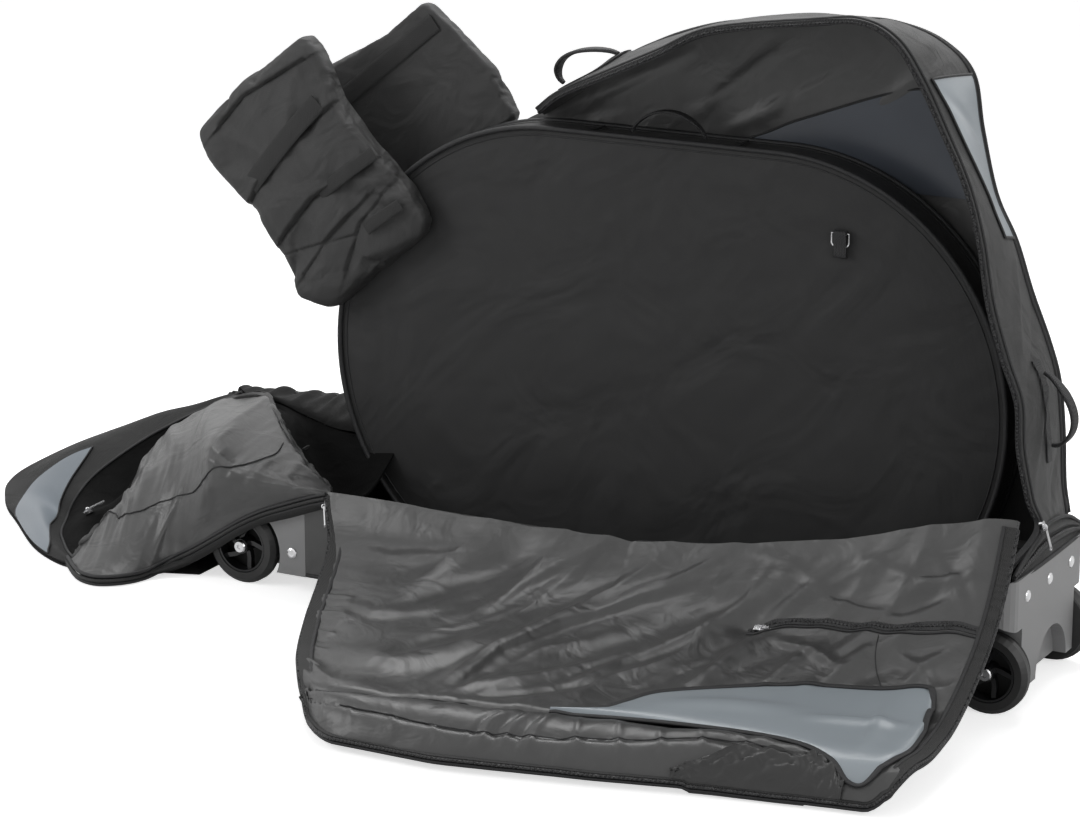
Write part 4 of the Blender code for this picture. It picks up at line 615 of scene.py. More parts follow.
# Far wall: flat foam that stands on the tray. Its inside is lined with satin, which lies in loose
# folds above the compartment, and an inlay and a corded top edge are sewn to it.
wall_low = [(-0.870, 0.152), (-0.850, 0.230), (-0.780, 0.370), (-0.640, 0.520), (-0.500, 0.640),
            (-0.430, 0.737), (-0.352, 0.774)]
wall_left = smooth_line([(x * half_base, 0, z * bag_top) for x, z in wall_low])
wall_rise = wall_left + [spot - middle for spot in far_edge[1:]]
foot_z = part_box("far_wall")[0].z


def wall_top(x):
    """Height of the far wall over x."""
    for a, b in zip(wall_rise, wall_rise[1:]):
        if a.x <= x <= b.x and b.x > a.x:
            return a.z + (b.z - a.z) * (x - a.x) / (b.x - a.x)
    return wall_rise[0].z if x < wall_rise[0].x else foot_z + 0.002


wall_folds = [((-0.28, 0.72), (0.05, 0.86), 0.014, 0.007),
              ((-0.16, 0.74), (0.12, 0.89), 0.010, -0.006),
              ((0.00, 0.74), (0.20, 0.90), 0.012, 0.006),
              ((0.06, 0.73), (0.30, 0.86), 0.010, 0.005),
              ((0.16, 0.72), (0.20, 0.88), 0.010, -0.005),
              ((0.30, 0.78), (0.45, 0.90), 0.012, 0.005),
              ((-0.40, 0.50), (-0.20, 0.72), 0.012, 0.004)]
wall_thick, wall_start, wall_end = 0.0115, -0.575, 0.637


def wall_place(u, v):
    """A place on the wall's lining: u along it, v up to its top edge."""
    x = wall_start + (wall_end - wall_start) * u
    z = foot_z + (max(wall_top(x), foot_z + 0.004) - foot_z) * v
    loose = folds_at(x, z, wall_folds) + 0.003 * noise.noise(Vector((x * 9, z * 9, 4)))
    return at(x, wall_face + 0.0008 - max(loose, -0.0005) * min(1, 12 * (1 - v)), z)


wall = lay_cloth("far_wall_cloth", 200, 110, wall_place)
back_cloth(wall, wall_thick, [satin, outer_cloth, outer_cloth])
go_with(wall, "base", "outer_fabric", "far_wall", fill=0.4)
top_run = [at(spot.x, wall_face + wall_thick, spot.z - 0.003) for spot in wall_rise
           if spot.x < 0.632]
sew_cord("wall_back_cord", top_run, 0.0035, binding, "base", "outer_fabric")
wall_inlay = smooth_line([(0.034, 0, 0.702), (0.135, 0, 0.740), (0.209, 0, 0.772),
                          (0.389, 0, 0.830), (0.433, 0, 0.770), (0.475, 0, 0.690)], 10)


def wall_inlay_place(u, v):
    """A place on the wall's inlay: u along its top edge, v up to it."""
    top = along(wall_inlay, u)
    return at(top.x, wall_face - 0.0022 - 0.003 * math.sin(math.pi * u) * math.sin(math.pi * v),
              0.675 + (top.z - 0.675) * v)


# The wall's inlay is the pale coated sheet of the hood's inlay, coloured dark as painted shade
# inside the bag.
shaded_inlay_coat = coat("inlay_in_painted_shade", (0.048, 0.055, 0.069), (0.075, 0.086, 0.106))
patch = lay_cloth("wall_inlay", 60, 20, wall_inlay_place)
back_cloth(patch, 0.0012, [shaded_inlay_coat])
go_with(patch, "base", "patch_sheet", "far_wall_patch")
sew_cord("wall_inlay_cord", [wall_inlay_place(u / 60, 1) for u in range(61)], 0.0018, binding,
         "base", "lining")

# Carry handles on the hood: two loops of webbing, at its top and at its end. Each is sewn through
# a flat base strap that spreads the pull over the cloth.
for name, first, last, a, rise, lean in (("top_handle", 0.052, 0.105, 0.50, 0.040, -0.20),
                                         ("end_handle", 0.715, 0.795, 0.46, 0.044, 0.12)):
    flat = [along(far_edge, s).lerp(along(zip_edge, s), a) + hood_out(s) * 0.006
            for s in (first, last)]
    feet = [spot + hood_out(s) * 0.0041 for spot, s in zip(flat, (first, last))]
    bend_strap(name + "_loop", *feet, hood_out((first + last) / 2), rise, lean, 0.024, 0.006,
               Vector((0, 1, 0)), name, name)
    half, over = 0.012 / hood_deep, 0.022
    grow = over / ((flat[1] - flat[0]).length / (last - first))
    start, run = first - grow, last - first + 2 * grow
    base = lay_cloth(name + "_strap", 40, 4, lambda u, v: hood_place(
        start + run * u, a + half * (1 - 2 * v)) + hood_out(start + run * u) * 0.0028)
    back_cloth(base, 0.0024, [webbing])
    go_with(base, "base", "webbing", name + "_base")

# Base: a tray of padded cloth held between two moulded end caps, with a stiff board on its
# floor. Its near wall rises towards the hood as a rim that the side panel hangs over.
cap_length, arch_inner, wheel_half = 0.160, 0.105, 0.621
tray_half, tray_foot, tray_top = 0.4985, 0.0345, 0.172


def tray_plan():
    """Corners of the tray's plan, stepped in beside the caps and the wheel arches."""
    inset = 0.0043
    wide, capped, narrow = half_width, half_width - inset, arch_inner - inset
    to_cap, to_arch = half_base - cap_length - 0.0003, wheel_half - 0.0793
    to_end = half_base - 0.0332
    right = [(to_cap, wide), (to_cap, capped), (to_arch, capped), (to_arch, narrow),
             (to_end, narrow)]
    half = right + [(x, -y) for x, y in reversed(right)]
    return half + [(-x, -y) for x, y in half]


plan = tray_plan()
walls = []
for (ax, ay), (bx, by) in zip(plan, plan[1:] + plan[:1]):
    count = max(2, int(math.hypot(bx - ax, by - ay) / 0.012))
    walls += [(ax + (bx - ax) * k / count, ay + (by - ay) * k / count) for k in range(count)]
walls.append(walls[0])


def tray_side(u, v):
    """A place on the tray's wall: u round its plan, v up from its foot."""
    k = int(round(u * (len(walls) - 1)))
    x, y = walls[k]
    soft = 0.0012 * noise.noise(Vector((x * 7, y * 7, v * 2))) * math.sin(math.pi * v)
    return at(x, y * (1 - abs(soft) * 4), tray_foot + (tray_top - tray_foot) * v)


side = lay_cloth("tray_walls", len(walls) - 1, 10, tray_side)
back_cloth(side, 0.0068, [outer_cloth, satin, outer_cloth], offset=1, angle=40)
go_with(side, "base", "outer_fabric", "base_tray", fill=0.3)
under = lay_cloth("tray_floor", 80, 20, lambda u, v: at(
    (u - 0.5) * 0.998, (v - 0.5) * 0.289, 0.0302))
back_cloth(under, 0.0040, [outer_cloth], offset=1)
go_with(under, "base", "outer_fabric", "base_tray", fill=0.1)
for name, x_side in (("tray_tongue_left", -1), ("tray_tongue_right", 1)):
    tongue = lay_cloth(name, 12, 12, lambda u, v: at(
        x_side * (0.499 + 0.127 * u), (v - 0.5) * 0.200 * x_side, tray_foot))
    back_cloth(tongue, 0.0035, [outer_cloth], offset=1)
    go_with(tongue, "base", "outer_fabric", "base_tray", fill=0.1)
for name, y_side, z, radius in (("near_foot_cord", -1, tray_foot, 0.0028),
                                ("far_foot_cord", 1, tray_foot, 0.0028),
                                ("far_top_cord", 1, 0.1705, 0.0030)):
    run = [at(tray_half * (k / 30 - 1), y_side * (half_width + 0.0002), z) for k in range(61)]
    sew_cord(name, run, radius, binding, "base", "outer_fabric")
board_cloth = dye_cloth("board_cloth", (0.022, 0.022, 0.023), 0.85, (0.0016, 0.0003), (6, 0.002))
crest = [(0.066, 0.1735), (0.253, 0.196), (0.409, 0.227), (0.530, 0.265), (0.614, 0.2884),
         (0.653, 0.292)]


def line_at(table, place):
    """Straight-line reading of a table of places and values."""
    for (a, va), (b, vb) in zip(table, table[1:]):
        if place <= b:
            return va + (vb - va) * max(0, (place - a) / (b - a))
    return table[-1][1]


def crest_height(x):
    """Top of the near rim over x."""
    return tray_top if x <= crest[0][0] else line_at(crest, x)


rim_foot, rim_length, rim_y = 0.160, 0.572, -0.1448


def rim_place(u, v):
    """A place on the near rim: u along it from its low end, v up to its crest."""
    x = crest[0][0] + rim_length * u
    return at(x, rim_y + 0.0015 * math.sin(math.pi * v),
              rim_foot + (crest_height(x) - rim_foot) * v)


rim_cloth = lay_cloth("near_rim", 80, 16, rim_place)
back_cloth(rim_cloth, 0.0050, [outer_cloth, satin, binding])
go_with(rim_cloth, "base", "outer_fabric", "base_tray", fill=0.3)

# End caps, moulded in grey plastic with the hand scoop in each end; their cut upper edges carry a
# thin lip. The board, caps, rivets, bolts, sliders and ring keep their solids.
plastic_cloud, plastic_grain = (14, 5), ("ShaderNodeTexNoise", 900, 0.00012)
cap_plastic = hard_finish("cap_plastic", (0.200, 0.200, 0.202), (0.245, 0.245, 0.247), (0.34, 0.52),
                          plastic_cloud, plastic_grain)


def finish_nodes(material, *names):
    """Gives the CAD nodes that stay a better material."""
    for name in names:
        for held in bpy.data.objects[name].material_slots:
            held.material = material


finish_nodes(cap_plastic, "end_cap_left", "end_cap_right")
finish_nodes(board_cloth, "floor_board")

# Wheels, rivets, bolts, sliders and ring: urethane tyres, gloss black spoked hubs, and
# chromed steel.
chrome = hard_finish("bright_chrome", (0.62, 0.62, 0.63), (0.78, 0.78, 0.79), (0.10, 0.30),
                     (160, 4), metal=1.0)
rubber = hard_finish("tyre_urethane", (0.016, 0.016, 0.016), (0.024, 0.024, 0.024), (0.34, 0.52),
                     plastic_cloud, plastic_grain)
gloss = hard_finish("gloss_hub", (0.007, 0.007, 0.008), (0.011, 0.011, 0.012), (0.12, 0.24),
                    plastic_cloud, ("ShaderNodeTexNoise", 900, 0.00002))
finish_nodes(chrome, "d_ring", *[f"axle_bolt_{n}" for n in range(1, 5)],
             *[f"rivet_{end}_{n}" for end in ("left", "right") for n in range(1, 6)],
             *[f"{zip_name}_{bit}" for bit in ("slider", "pull")
               for zip_name in ("left_zip", "right_zip", "panel_pocket", "end_pocket")])
finish_nodes(rubber, *[f"wheel_{n}_tyre" for n in range(1, 5)])
finish_nodes(gloss, *[f"wheel_{n}_hub" for n in range(1, 5)])

# Tab that holds the D-ring on the compartment: a short strap, doubled round the ring's foot and
# sewn down under it.
tab_low, tab_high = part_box("ring_tab")
tab_section = smooth_line([(0, tab_high.y, tab_low.z), (0, tab_low.y + 0.0026, tab_low.z + 0.002),
                           (0, tab_low.y + 0.0024, (tab_low.z + tab_high.z) / 2 - 0.003),
                           (0, tab_low.y + 0.0006, tab_high.z - 0.006),
                           (0, tab_low.y + 0.0012, tab_high.z - 0.0012),
                           (0, tab_high.y - 0.0012, tab_high.z - 0.0008),
                           (0, tab_high.y - 0.0004, tab_high.z - 0.008)], 6)
tab = lay_cloth("ring_tab_strap", 10, 36, lambda u, v: along(tab_section, 1 - v)
                + Vector((tab_low.x + (tab_high.x - tab_low.x) * u, 0, 0)))
back_cloth(tab, 0.0012, [webbing], offset=-1)
go_with(tab, "base", "webbing", "ring_tab")

# Foot band of the standing end: the zip tapes lie folded together above the right cap's bound top
# edge, with two cords and a coil sewn along them.
band_top = smooth_line([(0.6530, -0.126, 0.206), (0.654, -0.100, 0.230), (0.656, -0.045, 0.252),
                        (0.656, 0.020, 0.250), (0.655, 0.085, 0.238), (0.654, 0.140, 0.212)], 10)
cap_top, band_near, band_far = right_cap[1].z, -0.126, 0.140


def band_place(u, v):
    """A place on the band: u from its near end to its far end, v up from the cap."""
    top = along(band_top, u)
    y = band_near + (band_far - band_near) * u
    fold = 0.0022 * math.sin(v * 6 * math.pi) * math.sin(math.pi * u) ** 0.3
    return at(top.x - 0.001 + fold, y, cap_top - 0.004 + (top.z - cap_top + 0.004) * v)


band_cloth = dye_cloth("end_band_cloth", (0.010, 0.010, 0.010), 0.55, (0.0011, 0.0003), (9, 0.002))
band = lay_cloth("right_end_band", 60, 36, band_place)
back_cloth(band, 0.0030, [band_cloth], offset=0)
go_with(band, "base", "outer_fabric", fill=0.2)
for name, share, radius in (("right_end_cord", 0.06, 0.0034), ("right_end_coil", 0.52, 0.0022),
                            ("right_end_top_cord", 0.97, 0.0026)):
    sew_cord(name, [band_place(k / 60, share) + Vector((0.0022, 0, 0)) for k in range(61)], radius,
             coil if name.endswith("coil") else binding, "base", "webbing")

# Cheeks of the wheel houses: moulded discs behind the wheels, on the caps' inner side, painted
# near-black as the shade inside the wheel houses. Their shape is inferred from the dark shade that
# shows between the spokes.
# Both shades are near-black: painted shade inside the wheel house.
cheek_painted_shade = hard_finish("wheel_house_shade_paint", (0.012, 0.012, 0.012), (0.012, 0.012, 0.012),
                            (0.50, 0.75), (90, 2))
cheek_radius, cheek_thick, cheek_gap = 0.056, 0.004, 0.006
for number in range(1, 5):
    tyre_low, tyre_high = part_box(f"wheel_{number}_tyre")
    hub = (tyre_low + tyre_high) / 2
    inner = tyre_high.y + cheek_gap if hub.y < middle.y else tyre_low.y - cheek_gap
    bpy.ops.mesh.primitive_cylinder_add(vertices=64, radius=cheek_radius, depth=cheek_thick,
                                        location=(hub.x, inner, hub.z),
                                        rotation=(math.pi / 2, 0, 0))
    cheek = bpy.context.object
    cheek.name = f"wheel_cheek_{number}"
    bevel = cheek.modifiers.new("round", "BEVEL")
    bevel.width, bevel.segments = 0.0012, 2
    bpy.ops.object.modifier_apply(modifier=bevel.name)
    bpy.ops.object.transform_apply(location=True, rotation=True, scale=True)
    cheek.data.materials.append(cheek_painted_shade)
    bpy.ops.object.shade_smooth_by_angle(angle=math.radians(40))
    go_with(cheek, "base", "moulded_cap")

# Side panel, folded down in front and lying on the floor: a foam panel lined with satin, coated
# cloth beneath, a border with a pale inlay, and a zip all round its free edge.
left_shares = ((0.0, 0.0), (0.032, 0.10), (0.070, 0.30), (0.108, 0.50), (0.158, 0.715),
               (0.222, 0.925))
right_shares = ((1.0, 0.0), (1.0, 0.12), (1.0, 0.28), (1.002, 0.46), (1.004, 0.64),
                (0.992, 0.800))
outer_shares = ((0.222, 0.925), (0.300, 1.055), (0.415, 1.060), (0.520, 1.020), (0.645, 0.958),
                (0.765, 0.890), (0.890, 0.838), (0.992, 0.800))
fall_shares = ((0.0, 1.0), (0.12, 0.76), (0.30, 0.53), (0.55, 0.39), (0.75, 0.33), (0.87, 0.325),
               (0.94, 0.26), (1.0, 0.05))
panel_left, panel_width, panel_out, corner_reach = -0.457, 1.119, 0.5192, 0.05
hinge_y, hinge_z, panel_thick = -0.1458, 0.175, 0.0125


def panel_spot(across, out):
    """A place in the panel's plan: across from left to right, out from hinge to free edge."""
    return Vector((panel_left + across * panel_width, hinge_y - out * panel_out, 0))


panel_sides = [smooth_line([panel_spot(*s) for s in shares])
               for shares in (left_shares, right_shares, outer_shares)]
fall_table = [tuple(spot)[:2] for spot in smooth_line(fall_shares, 10)]


def polyline_folds(folds, wide, deep):
    """Folds as runs of short straight pieces with the box that each one reaches."""
    ready = []
    for points, steep, soft, rise in folds:
        run = [(a * wide, o * deep) for a, o in points]
        ways = [0.0]
        for (ax, ay), (bx, by) in zip(run, run[1:]):
            ways.append(ways[-1] + math.hypot(bx - ax, by - ay))
        reach = 2.6 * max(steep, soft)
        box = (min(p[0] for p in run) - reach, max(p[0] for p in run) + reach,
               min(p[1] for p in run) - reach, max(p[1] for p in run) + reach)
        ready.append((run, ways, steep, soft, rise, box))
    return ready


def from_line(points, x, y):
    """How far a place is from a line of straight pieces, on which side, and where along it."""
    best = None
    for k, ((ax, ay), (bx, by)) in enumerate(zip(points, points[1:])):
        dx, dy = bx - ax, by - ay
        t = min(max(((x - ax) * dx + (y - ay) * dy) / (dx * dx + dy * dy), 0), 1)
        off = math.hypot(x - ax - dx * t, y - ay - dy * t)
        if best is None or off < best[0]:
            best = (off, (x - ax) * dy - (y - ay) * dx, k, t)
    return best


def fold_height(x, y, folds):
    """Height of folds at a place in metres; each is steep on its right and soft on its left."""
    height = 0.0
    for run, ways, steep, soft, rise, box in folds:
        if not (box[0] < x < box[1] and box[2] < y < box[3]):
            continue
        near, side, k, t = from_line(run, x, y)
        way = ways[k] + t * (ways[k + 1] - ways[k])
        width = steep if side < 0 else soft
        height += (rise * math.exp(-(near / width) ** 2)
                   * math.sin(math.pi * min(max(way / ways[-1], 0.02), 0.98)) ** 0.6)
    return height


panel_creases = [
    ([(0.78, 0.05), (0.86, 0.12), (0.95, 0.17)], 0.008, 0.013, 0.0065),
    ([(0.70, 0.11), (0.79, 0.16), (0.88, 0.20)], 0.008, 0.014, -0.0060),
    ([(0.64, 0.03), (0.72, 0.10), (0.77, 0.18)], 0.008, 0.013, 0.0055),
    ([(0.87, 0.33), (0.92, 0.38), (0.97, 0.50)], 0.007, 0.010, 0.0055),
    ([(0.70, 0.32), (0.77, 0.37), (0.83, 0.45)], 0.007, 0.012, 0.0055),
    ([(0.90, 0.04), (0.94, 0.12), (0.97, 0.22)], 0.007, 0.010, -0.0050),
    ([(0.302, 0.776), (0.342, 0.539), (0.401, 0.368), (0.495, 0.215), (0.574, 0.131),
      (0.657, 0.087), (0.725, 0.051)], 0.007, 0.030, 0.0095),
    ([(0.28, 0.392), (0.316, 0.246), (0.366, 0.134), (0.421, 0.039), (0.45, 0.0)],
     0.009, 0.026, 0.0080),
    ([(0.148, 0.376), (0.19, 0.242), (0.272, 0.095), (0.36, 0.015)], 0.014, 0.034, 0.0070),
    ([(0.05, 0.72), (0.141, 0.70), (0.218, 0.67), (0.278, 0.60), (0.358, 0.466)],
     0.020, 0.034, 0.0090),
    ([(0.322, 0.754), (0.402, 0.67), (0.466, 0.543), (0.529, 0.421)], 0.012, 0.014, 0.0070),
    ([(0.34, 0.80), (0.42, 0.74), (0.50, 0.62)], 0.010, 0.010, -0.0050),
    ([(0.464, 0.682), (0.514, 0.492), (0.577, 0.361), (0.641, 0.217), (0.717, 0.124)],
     0.010, 0.020, 0.0075),
    ([(0.677, 0.262), (0.722, 0.173), (0.785, 0.095), (0.837, 0.066)], 0.010, 0.016, 0.0075),
    ([(0.845, 0.215), (0.889, 0.172), (0.95, 0.155)], 0.012, 0.010, -0.0080),
    ([(0.852, 0.160), (0.924, 0.130), (0.99, 0.112)], 0.007, 0.010, 0.0060),
    ([(0.631, 0.589), (0.66, 0.425), (0.686, 0.325)], 0.009, 0.014, 0.0065),
    ([(0.722, 0.544), (0.753, 0.39), (0.782, 0.303)], 0.009, 0.014, 0.0060),
    ([(0.799, 0.508), (0.823, 0.393), (0.839, 0.314)], 0.008, 0.012, 0.0050),
    ([(0.90, 0.47), (0.93, 0.36), (0.975, 0.29)], 0.008, 0.012, 0.0055),
    ([(0.644, 0.200), (0.656, 0.127), (0.675, 0.070)], 0.004, 0.007, 0.0035),
    ([(0.52, 0.17), (0.60, 0.05), (0.63, 0.0)], 0.007, 0.014, 0.0045),
    ([(0.72, 0.15), (0.78, 0.05), (0.82, 0.0)], 0.008, 0.014, 0.0045),
    ([(0.02, 0.20), (0.10, 0.22), (0.20, 0.16)], 0.010, 0.016, 0.0035),
    ([(0.03, 0.45), (0.12, 0.47), (0.22, 0.40)], 0.010, 0.018, 0.0045),
    ([(0.36, 0.62), (0.40, 0.50), (0.46, 0.40)], 0.008, 0.014, 0.0045),
    ([(0.55, 0.62), (0.59, 0.50), (0.63, 0.42)], 0.008, 0.014, 0.0045)]


def small_creases(count, places, steep, soft, up, down=None):
    """Like creases side by side: places gives the points of each; every other one may go down."""
    return [(places(k), steep, soft, up if k % 2 or down is None else down) for k in range(count)]


panel_creases += small_creases(11, lambda k: [
    (0.002, 0.40 + 0.047 * k), (0.030 + 0.010 * (k % 3), 0.392 + 0.047 * k),
    (0.060 + 0.014 * (k % 2), 0.378 + 0.047 * k)], 0.004, 0.006, 0.0042, -0.00336)
panel_creases += small_creases(6, lambda k: [
    (0.375 + 0.019 * k, 0.985), (0.392 + 0.017 * k, 0.915), (0.428 + 0.012 * k, 0.845)],
    0.004, 0.006, 0.0045, -0.00405)
panel_creases += small_creases(5, lambda k: [
    (0.52 + 0.055 * k, 0.84), (0.528 + 0.056 * k, 0.92 - 0.012 * k),
    (0.545 + 0.056 * k, 0.985 - 0.010 * k)], 0.004, 0.006, 0.0032)
panel_creases += small_creases(7, lambda k: [
    (0.69 + 0.030 * k, 0.99 - 0.010 * k), (0.712 + 0.029 * k, 0.955 - 0.008 * k),
    (0.742 + 0.028 * k, 0.945 - 0.006 * k)], 0.005, 0.007, 0.0055, -0.0044)
panel_creases += small_creases(4, lambda k: [
    (0.10 + 0.07 * k, 0.93), (0.112 + 0.07 * k, 0.975)], 0.004, 0.006, 0.0018)
panel_folds = polyline_folds(panel_creases, panel_width, panel_out)
border_seam = ((0.0, 0.955), (0.066, 0.924), (0.162, 0.876), (0.242, 0.847), (0.322, 0.835),
               (0.405, 0.837), (0.474, 0.815), (0.578, 0.812), (0.671, 0.809), (0.762, 0.815),
               (0.822, 0.843), (0.877, 0.908), (0.921, 0.957), (1.0, 0.985))
middle_seam = ((0.0, 0.975), (0.151, 0.935), (0.224, 0.933), (0.308, 0.942), (0.395, 0.945),
               (0.510, 0.939), (0.615, 0.911), (0.695, 0.888), (0.775, 0.882), (0.833, 0.902))
under_line = ((0.0, 2.0), (0.680, 2.0), (0.700, 0.975), (0.764, 0.935), (0.836, 0.912),
              (0.896, 0.945), (0.925, 2.0))
free_edge_y = -0.6935
slider_across, slider_out, slider_dip = 0.668, 0.262, 0.0135


def panel_base(across, out):
    """The panel's lining face without its folds; its two free corners are rounded."""
    wide, deep = corner_reach / panel_width, corner_reach / panel_out
    p, q = abs(across - 0.5) - (0.5 - wide), out - (1 - deep)
    if p > 0 and q > 0:
        p, q = p / wide, q / deep
        keep = max(p, q) / math.hypot(p, q)
        across = 0.5 + math.copysign(0.5 - wide + wide * p * keep, across - 0.5)
        out = 1 - deep + deep * q * keep
    left, right = along(panel_sides[0], out), along(panel_sides[1], out)
    edge = along(panel_sides[2], across)
    corners = panel_sides[0][-1].lerp(panel_sides[1][-1], across)
    spot = left.lerp(right, across) + (edge - corners) * out ** 1.5
    hang = (crest_height(spot.x) - tray_top) * max(0, 1 - 1.6 * out) ** 1.5
    return at(spot.x, max(spot.y, free_edge_y), hinge_z * line_at(fall_table, out) + hang)


def drawn_folds(x, y):
    """Long soft folds of slack satin, running up to the right and nearly level at the left."""
    turned = Vector((0.64 * x - 0.77 * y, 0.77 * x + 0.64 * y, 0))
    lean = min(1, max(0, (x - 0.10) / 0.22))
    bend = 0.5 * noise.noise(Vector((x * 5, y * 5, 8.0)))
    slant = 0.45 - 1.6 * abs(noise.noise(Vector((turned.x * 3.2, turned.y * 13 + bend, 3.1))))
    slant += 0.30 * noise.noise(Vector((turned.x * 7, turned.y * 36 + 2 * bend, 7.7)))
    lie = 0.40 - 1.2 * abs(noise.noise(Vector((x * 3.5, y * 15 + bend, 1.3))))
    return lean * slant + (1 - lean) * lie


def panel_place(across, out):
    """A place on the panel's lining, with its folds, padding and border."""
    spot = panel_base(across, out)
    x, y = across * panel_width, out * panel_out
    seam, middle_line = line_at(border_seam, across), line_at(middle_seam, across)
    gap = (out - seam) * panel_out
    calm = min(1, 0.15 + 12 * min(across, 1 - across)) * min(1, 0.1 + 14 * (1 - out))
    calm *= min(1, 0.45 + 6 * out)
    field = 1.0 if gap < 0 else 0.45
    rise = fold_height(x, y, panel_folds) * calm
    rise += calm * field * (0.0092 * drawn_folds(x, y)
                            + 0.005 * noise.noise(Vector((x * 4.5, y * 6.0, 0.4))))
    sewn = min(1, 8 * (0.5 - across) + 1) if across < 0.6 else 0.3
    rise -= 0.007 * math.exp(-(gap / 0.006) ** 2) * sewn
    if gap > 0 and across < 0.86:
        width = max((middle_line - seam) * panel_out, 0.012)
        first = min(gap / width, 1)
        rest = max((1 - middle_line) * panel_out, 0.012)
        second = min(max((out - middle_line) * panel_out / rest, 0), 1)
        rise += 0.007 * math.sin(math.pi * first) ** 0.7
        rise += 0.010 * math.sin(math.pi * second) ** 0.6
        if out > line_at(under_line, across):
            rise -= 0.006
    rise -= slider_dip * math.exp(-(((across - slider_across) * panel_width / 0.034) ** 2
                                    + ((out - slider_out) * panel_out / 0.024) ** 2))
    spot.z += rise
    return spot


floor_gap = 0.0012


def keep_off_floor(cloth):
    """Lifts a lying cloth's underside off the floor."""
    for vertex in cloth.data.vertices:
        vertex.co.z = max(vertex.co.z, floor_gap)


panel = lay_cloth("side_panel_cloth", 300, 158, lambda u, v: panel_place(u, 1 - v))
back_cloth(panel, panel_thick, [satin, outer_cloth, binding])
keep_off_floor(panel)
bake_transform(panel)
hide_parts("side_panel")


def on_panel(across, out, lift):
    """A place straight above the panel's lining."""
    return panel_place(across, out) + Vector((0, 0, lift))


def panel_run(places, count=40):
    """Places close together along a table of places on the panel."""
    run = smooth_line(places)
    return [tuple(along(run, k / count))[:2] for k in range(count + 1)]


def sew_band(name, points, width, thick, material, body, up=Vector((0, 0, 1))):
    """A flat bound edge or ribbon with round sides, lying along points."""
    last = len(points) - 1

    def place(u, v):
        k = min(int(round(u * last)), last)
        ahead = (points[min(k + 1, last)] - points[max(k - 1, 0)]).normalized()
        side = ahead.cross(up).normalized()
        rise = side.cross(ahead).normalized()
        angle = 2 * math.pi * v
        c, s = math.cos(angle), math.sin(angle)
        spot = (points[k] + side * width / 2 * math.copysign(abs(c) ** 0.6, c)
                + rise * thick / 2 * math.copysign(abs(s) ** 0.8, s))
        return Vector((spot.x, spot.y, max(spot.z, 0.0008)))
    band = lay_cloth(name, last, 12, place)
    close_tube(band, 0.0001, material)
    return go_with(band, body, "webbing")


# Hem: cloth turned up over the panel's border below the inlay, and crumpled where it is drawn in;
# its near-black satin is the dark turned-up cloth and, in part, painted shade in the hollow below
# the border.
hem_top = smooth_line([(0.672, 0.985), (0.700, 0.968), (0.764, 0.930), (0.836, 0.905),
                       (0.885, 0.925), (0.915, 0.962)], 8)


def hem_place(u, v):
    """A place on the hem: u along its top, v down to the panel's free edge."""
    top = along(hem_top, u)
    start, end = panel_place(top.x, top.y), panel_base(top.x, 0.999)
    spot = start.lerp(end, v)
    out = top.y + (0.999 - top.y) * v
    spot.z = max(spot.z, panel_place(top.x, out).z) + 0.0035
    crumple = abs(noise.noise(Vector((u * 9 + 1.5 * v, v * 2.2, 4.0))))
    crumple += 0.5 * abs(noise.noise(Vector((u * 21 - 3 * v, v * 3.0, 9.0))))
    spot.z += (0.003 + 0.013 * crumple) * math.sin(math.pi * min(1, v + 0.06)) ** 0.7
    return spot


# Partly painted shade: much darker than the lining satin, for the hollow under the border.
hem_satin_and_shade = dye_cloth("hem_satin_and_shade", (0.020, 0.020, 0.020), 0.36, (0.0006, 0.00002), (12, 0.003))
hem = lay_cloth("panel_hem", 100, 24, lambda u, v: hem_place(u, 1 - v))
back_cloth(hem, 0.0030, [hem_satin_and_shade])
go_with(hem, "side_panel", "outer_fabric")


def panel_cord(name, places, radius, lift, material=binding, count=60):
    """A cord sewn along a table of places on the panel."""
    points = [on_panel(*place, lift) for place in panel_run(places, count)]
    return go_with(sew_cord(name, points, radius, material), "side_panel", "webbing")


edge_run = ([(0, k / 60) for k in range(1, 60)] + [(k / 110, 1) for k in range(111)]
            + [(1, 1 - k / 60) for k in range(1, 60)])


def edge_spot(k, inward, lift):
    """A place along the panel's free edge, moved inward over its lining and lifted."""
    last = len(edge_run) - 1
    k = min(max(k, 0), last)
    spot = panel_base(*edge_run[k])
    ahead = panel_base(*edge_run[min(k + 2, last)]) - panel_base(*edge_run[max(k - 2, 0)])
    ahead.z = 0
    side = Vector((-ahead.y, ahead.x, 0)).normalized()
    spot += side * inward
    across, out = edge_run[k]
    near = panel_place(min(max(across, 0.008), 0.992), min(out, 0.985))
    spot.z = max(spot.z, near.z * 0.6 + spot.z * 0.4, 0.0085) + lift
    return spot


edge_tape = dye_cloth("edge_tape", (0.011, 0.011, 0.011), 0.62, (0.0015, 0.0003), (20, 0.001))
count = len(edge_run) - 1
tape = lay_cloth("panel_zip_tape", count, 3, lambda u, v: edge_spot(
    int(round(u * count)), -0.0025 + 0.019 * v, 0.0014))
back_cloth(tape, 0.0016, [edge_tape], offset=0)
go_with(tape, "side_panel", "webbing", "side_panel_zip_tape")
for name, inward, lift, wide, material in (
        ("panel_coil", -0.0035, -0.0010, 0.0052, coil),
        ("panel_edge_cord", 0.0170, 0.0016, 0.0062, binding),
        ("panel_lower_cord", -0.0010, -0.0070, 0.0064, binding)):
    spots = [edge_spot(k, inward, lift) for k in range(count + 1)]
    for spot in spots:
        spot.z = max(spot.z, wide / 2 + 0.0007)
    sew_band(name, spots, wide, wide * 0.8, material, "side_panel")
panel_cord("panel_border_seam", border_seam[1:7], 0.0013, 0.0042, count=90)
panel_cord("panel_middle_seam", middle_seam[1:], 0.0011, 0.0030, count=90)
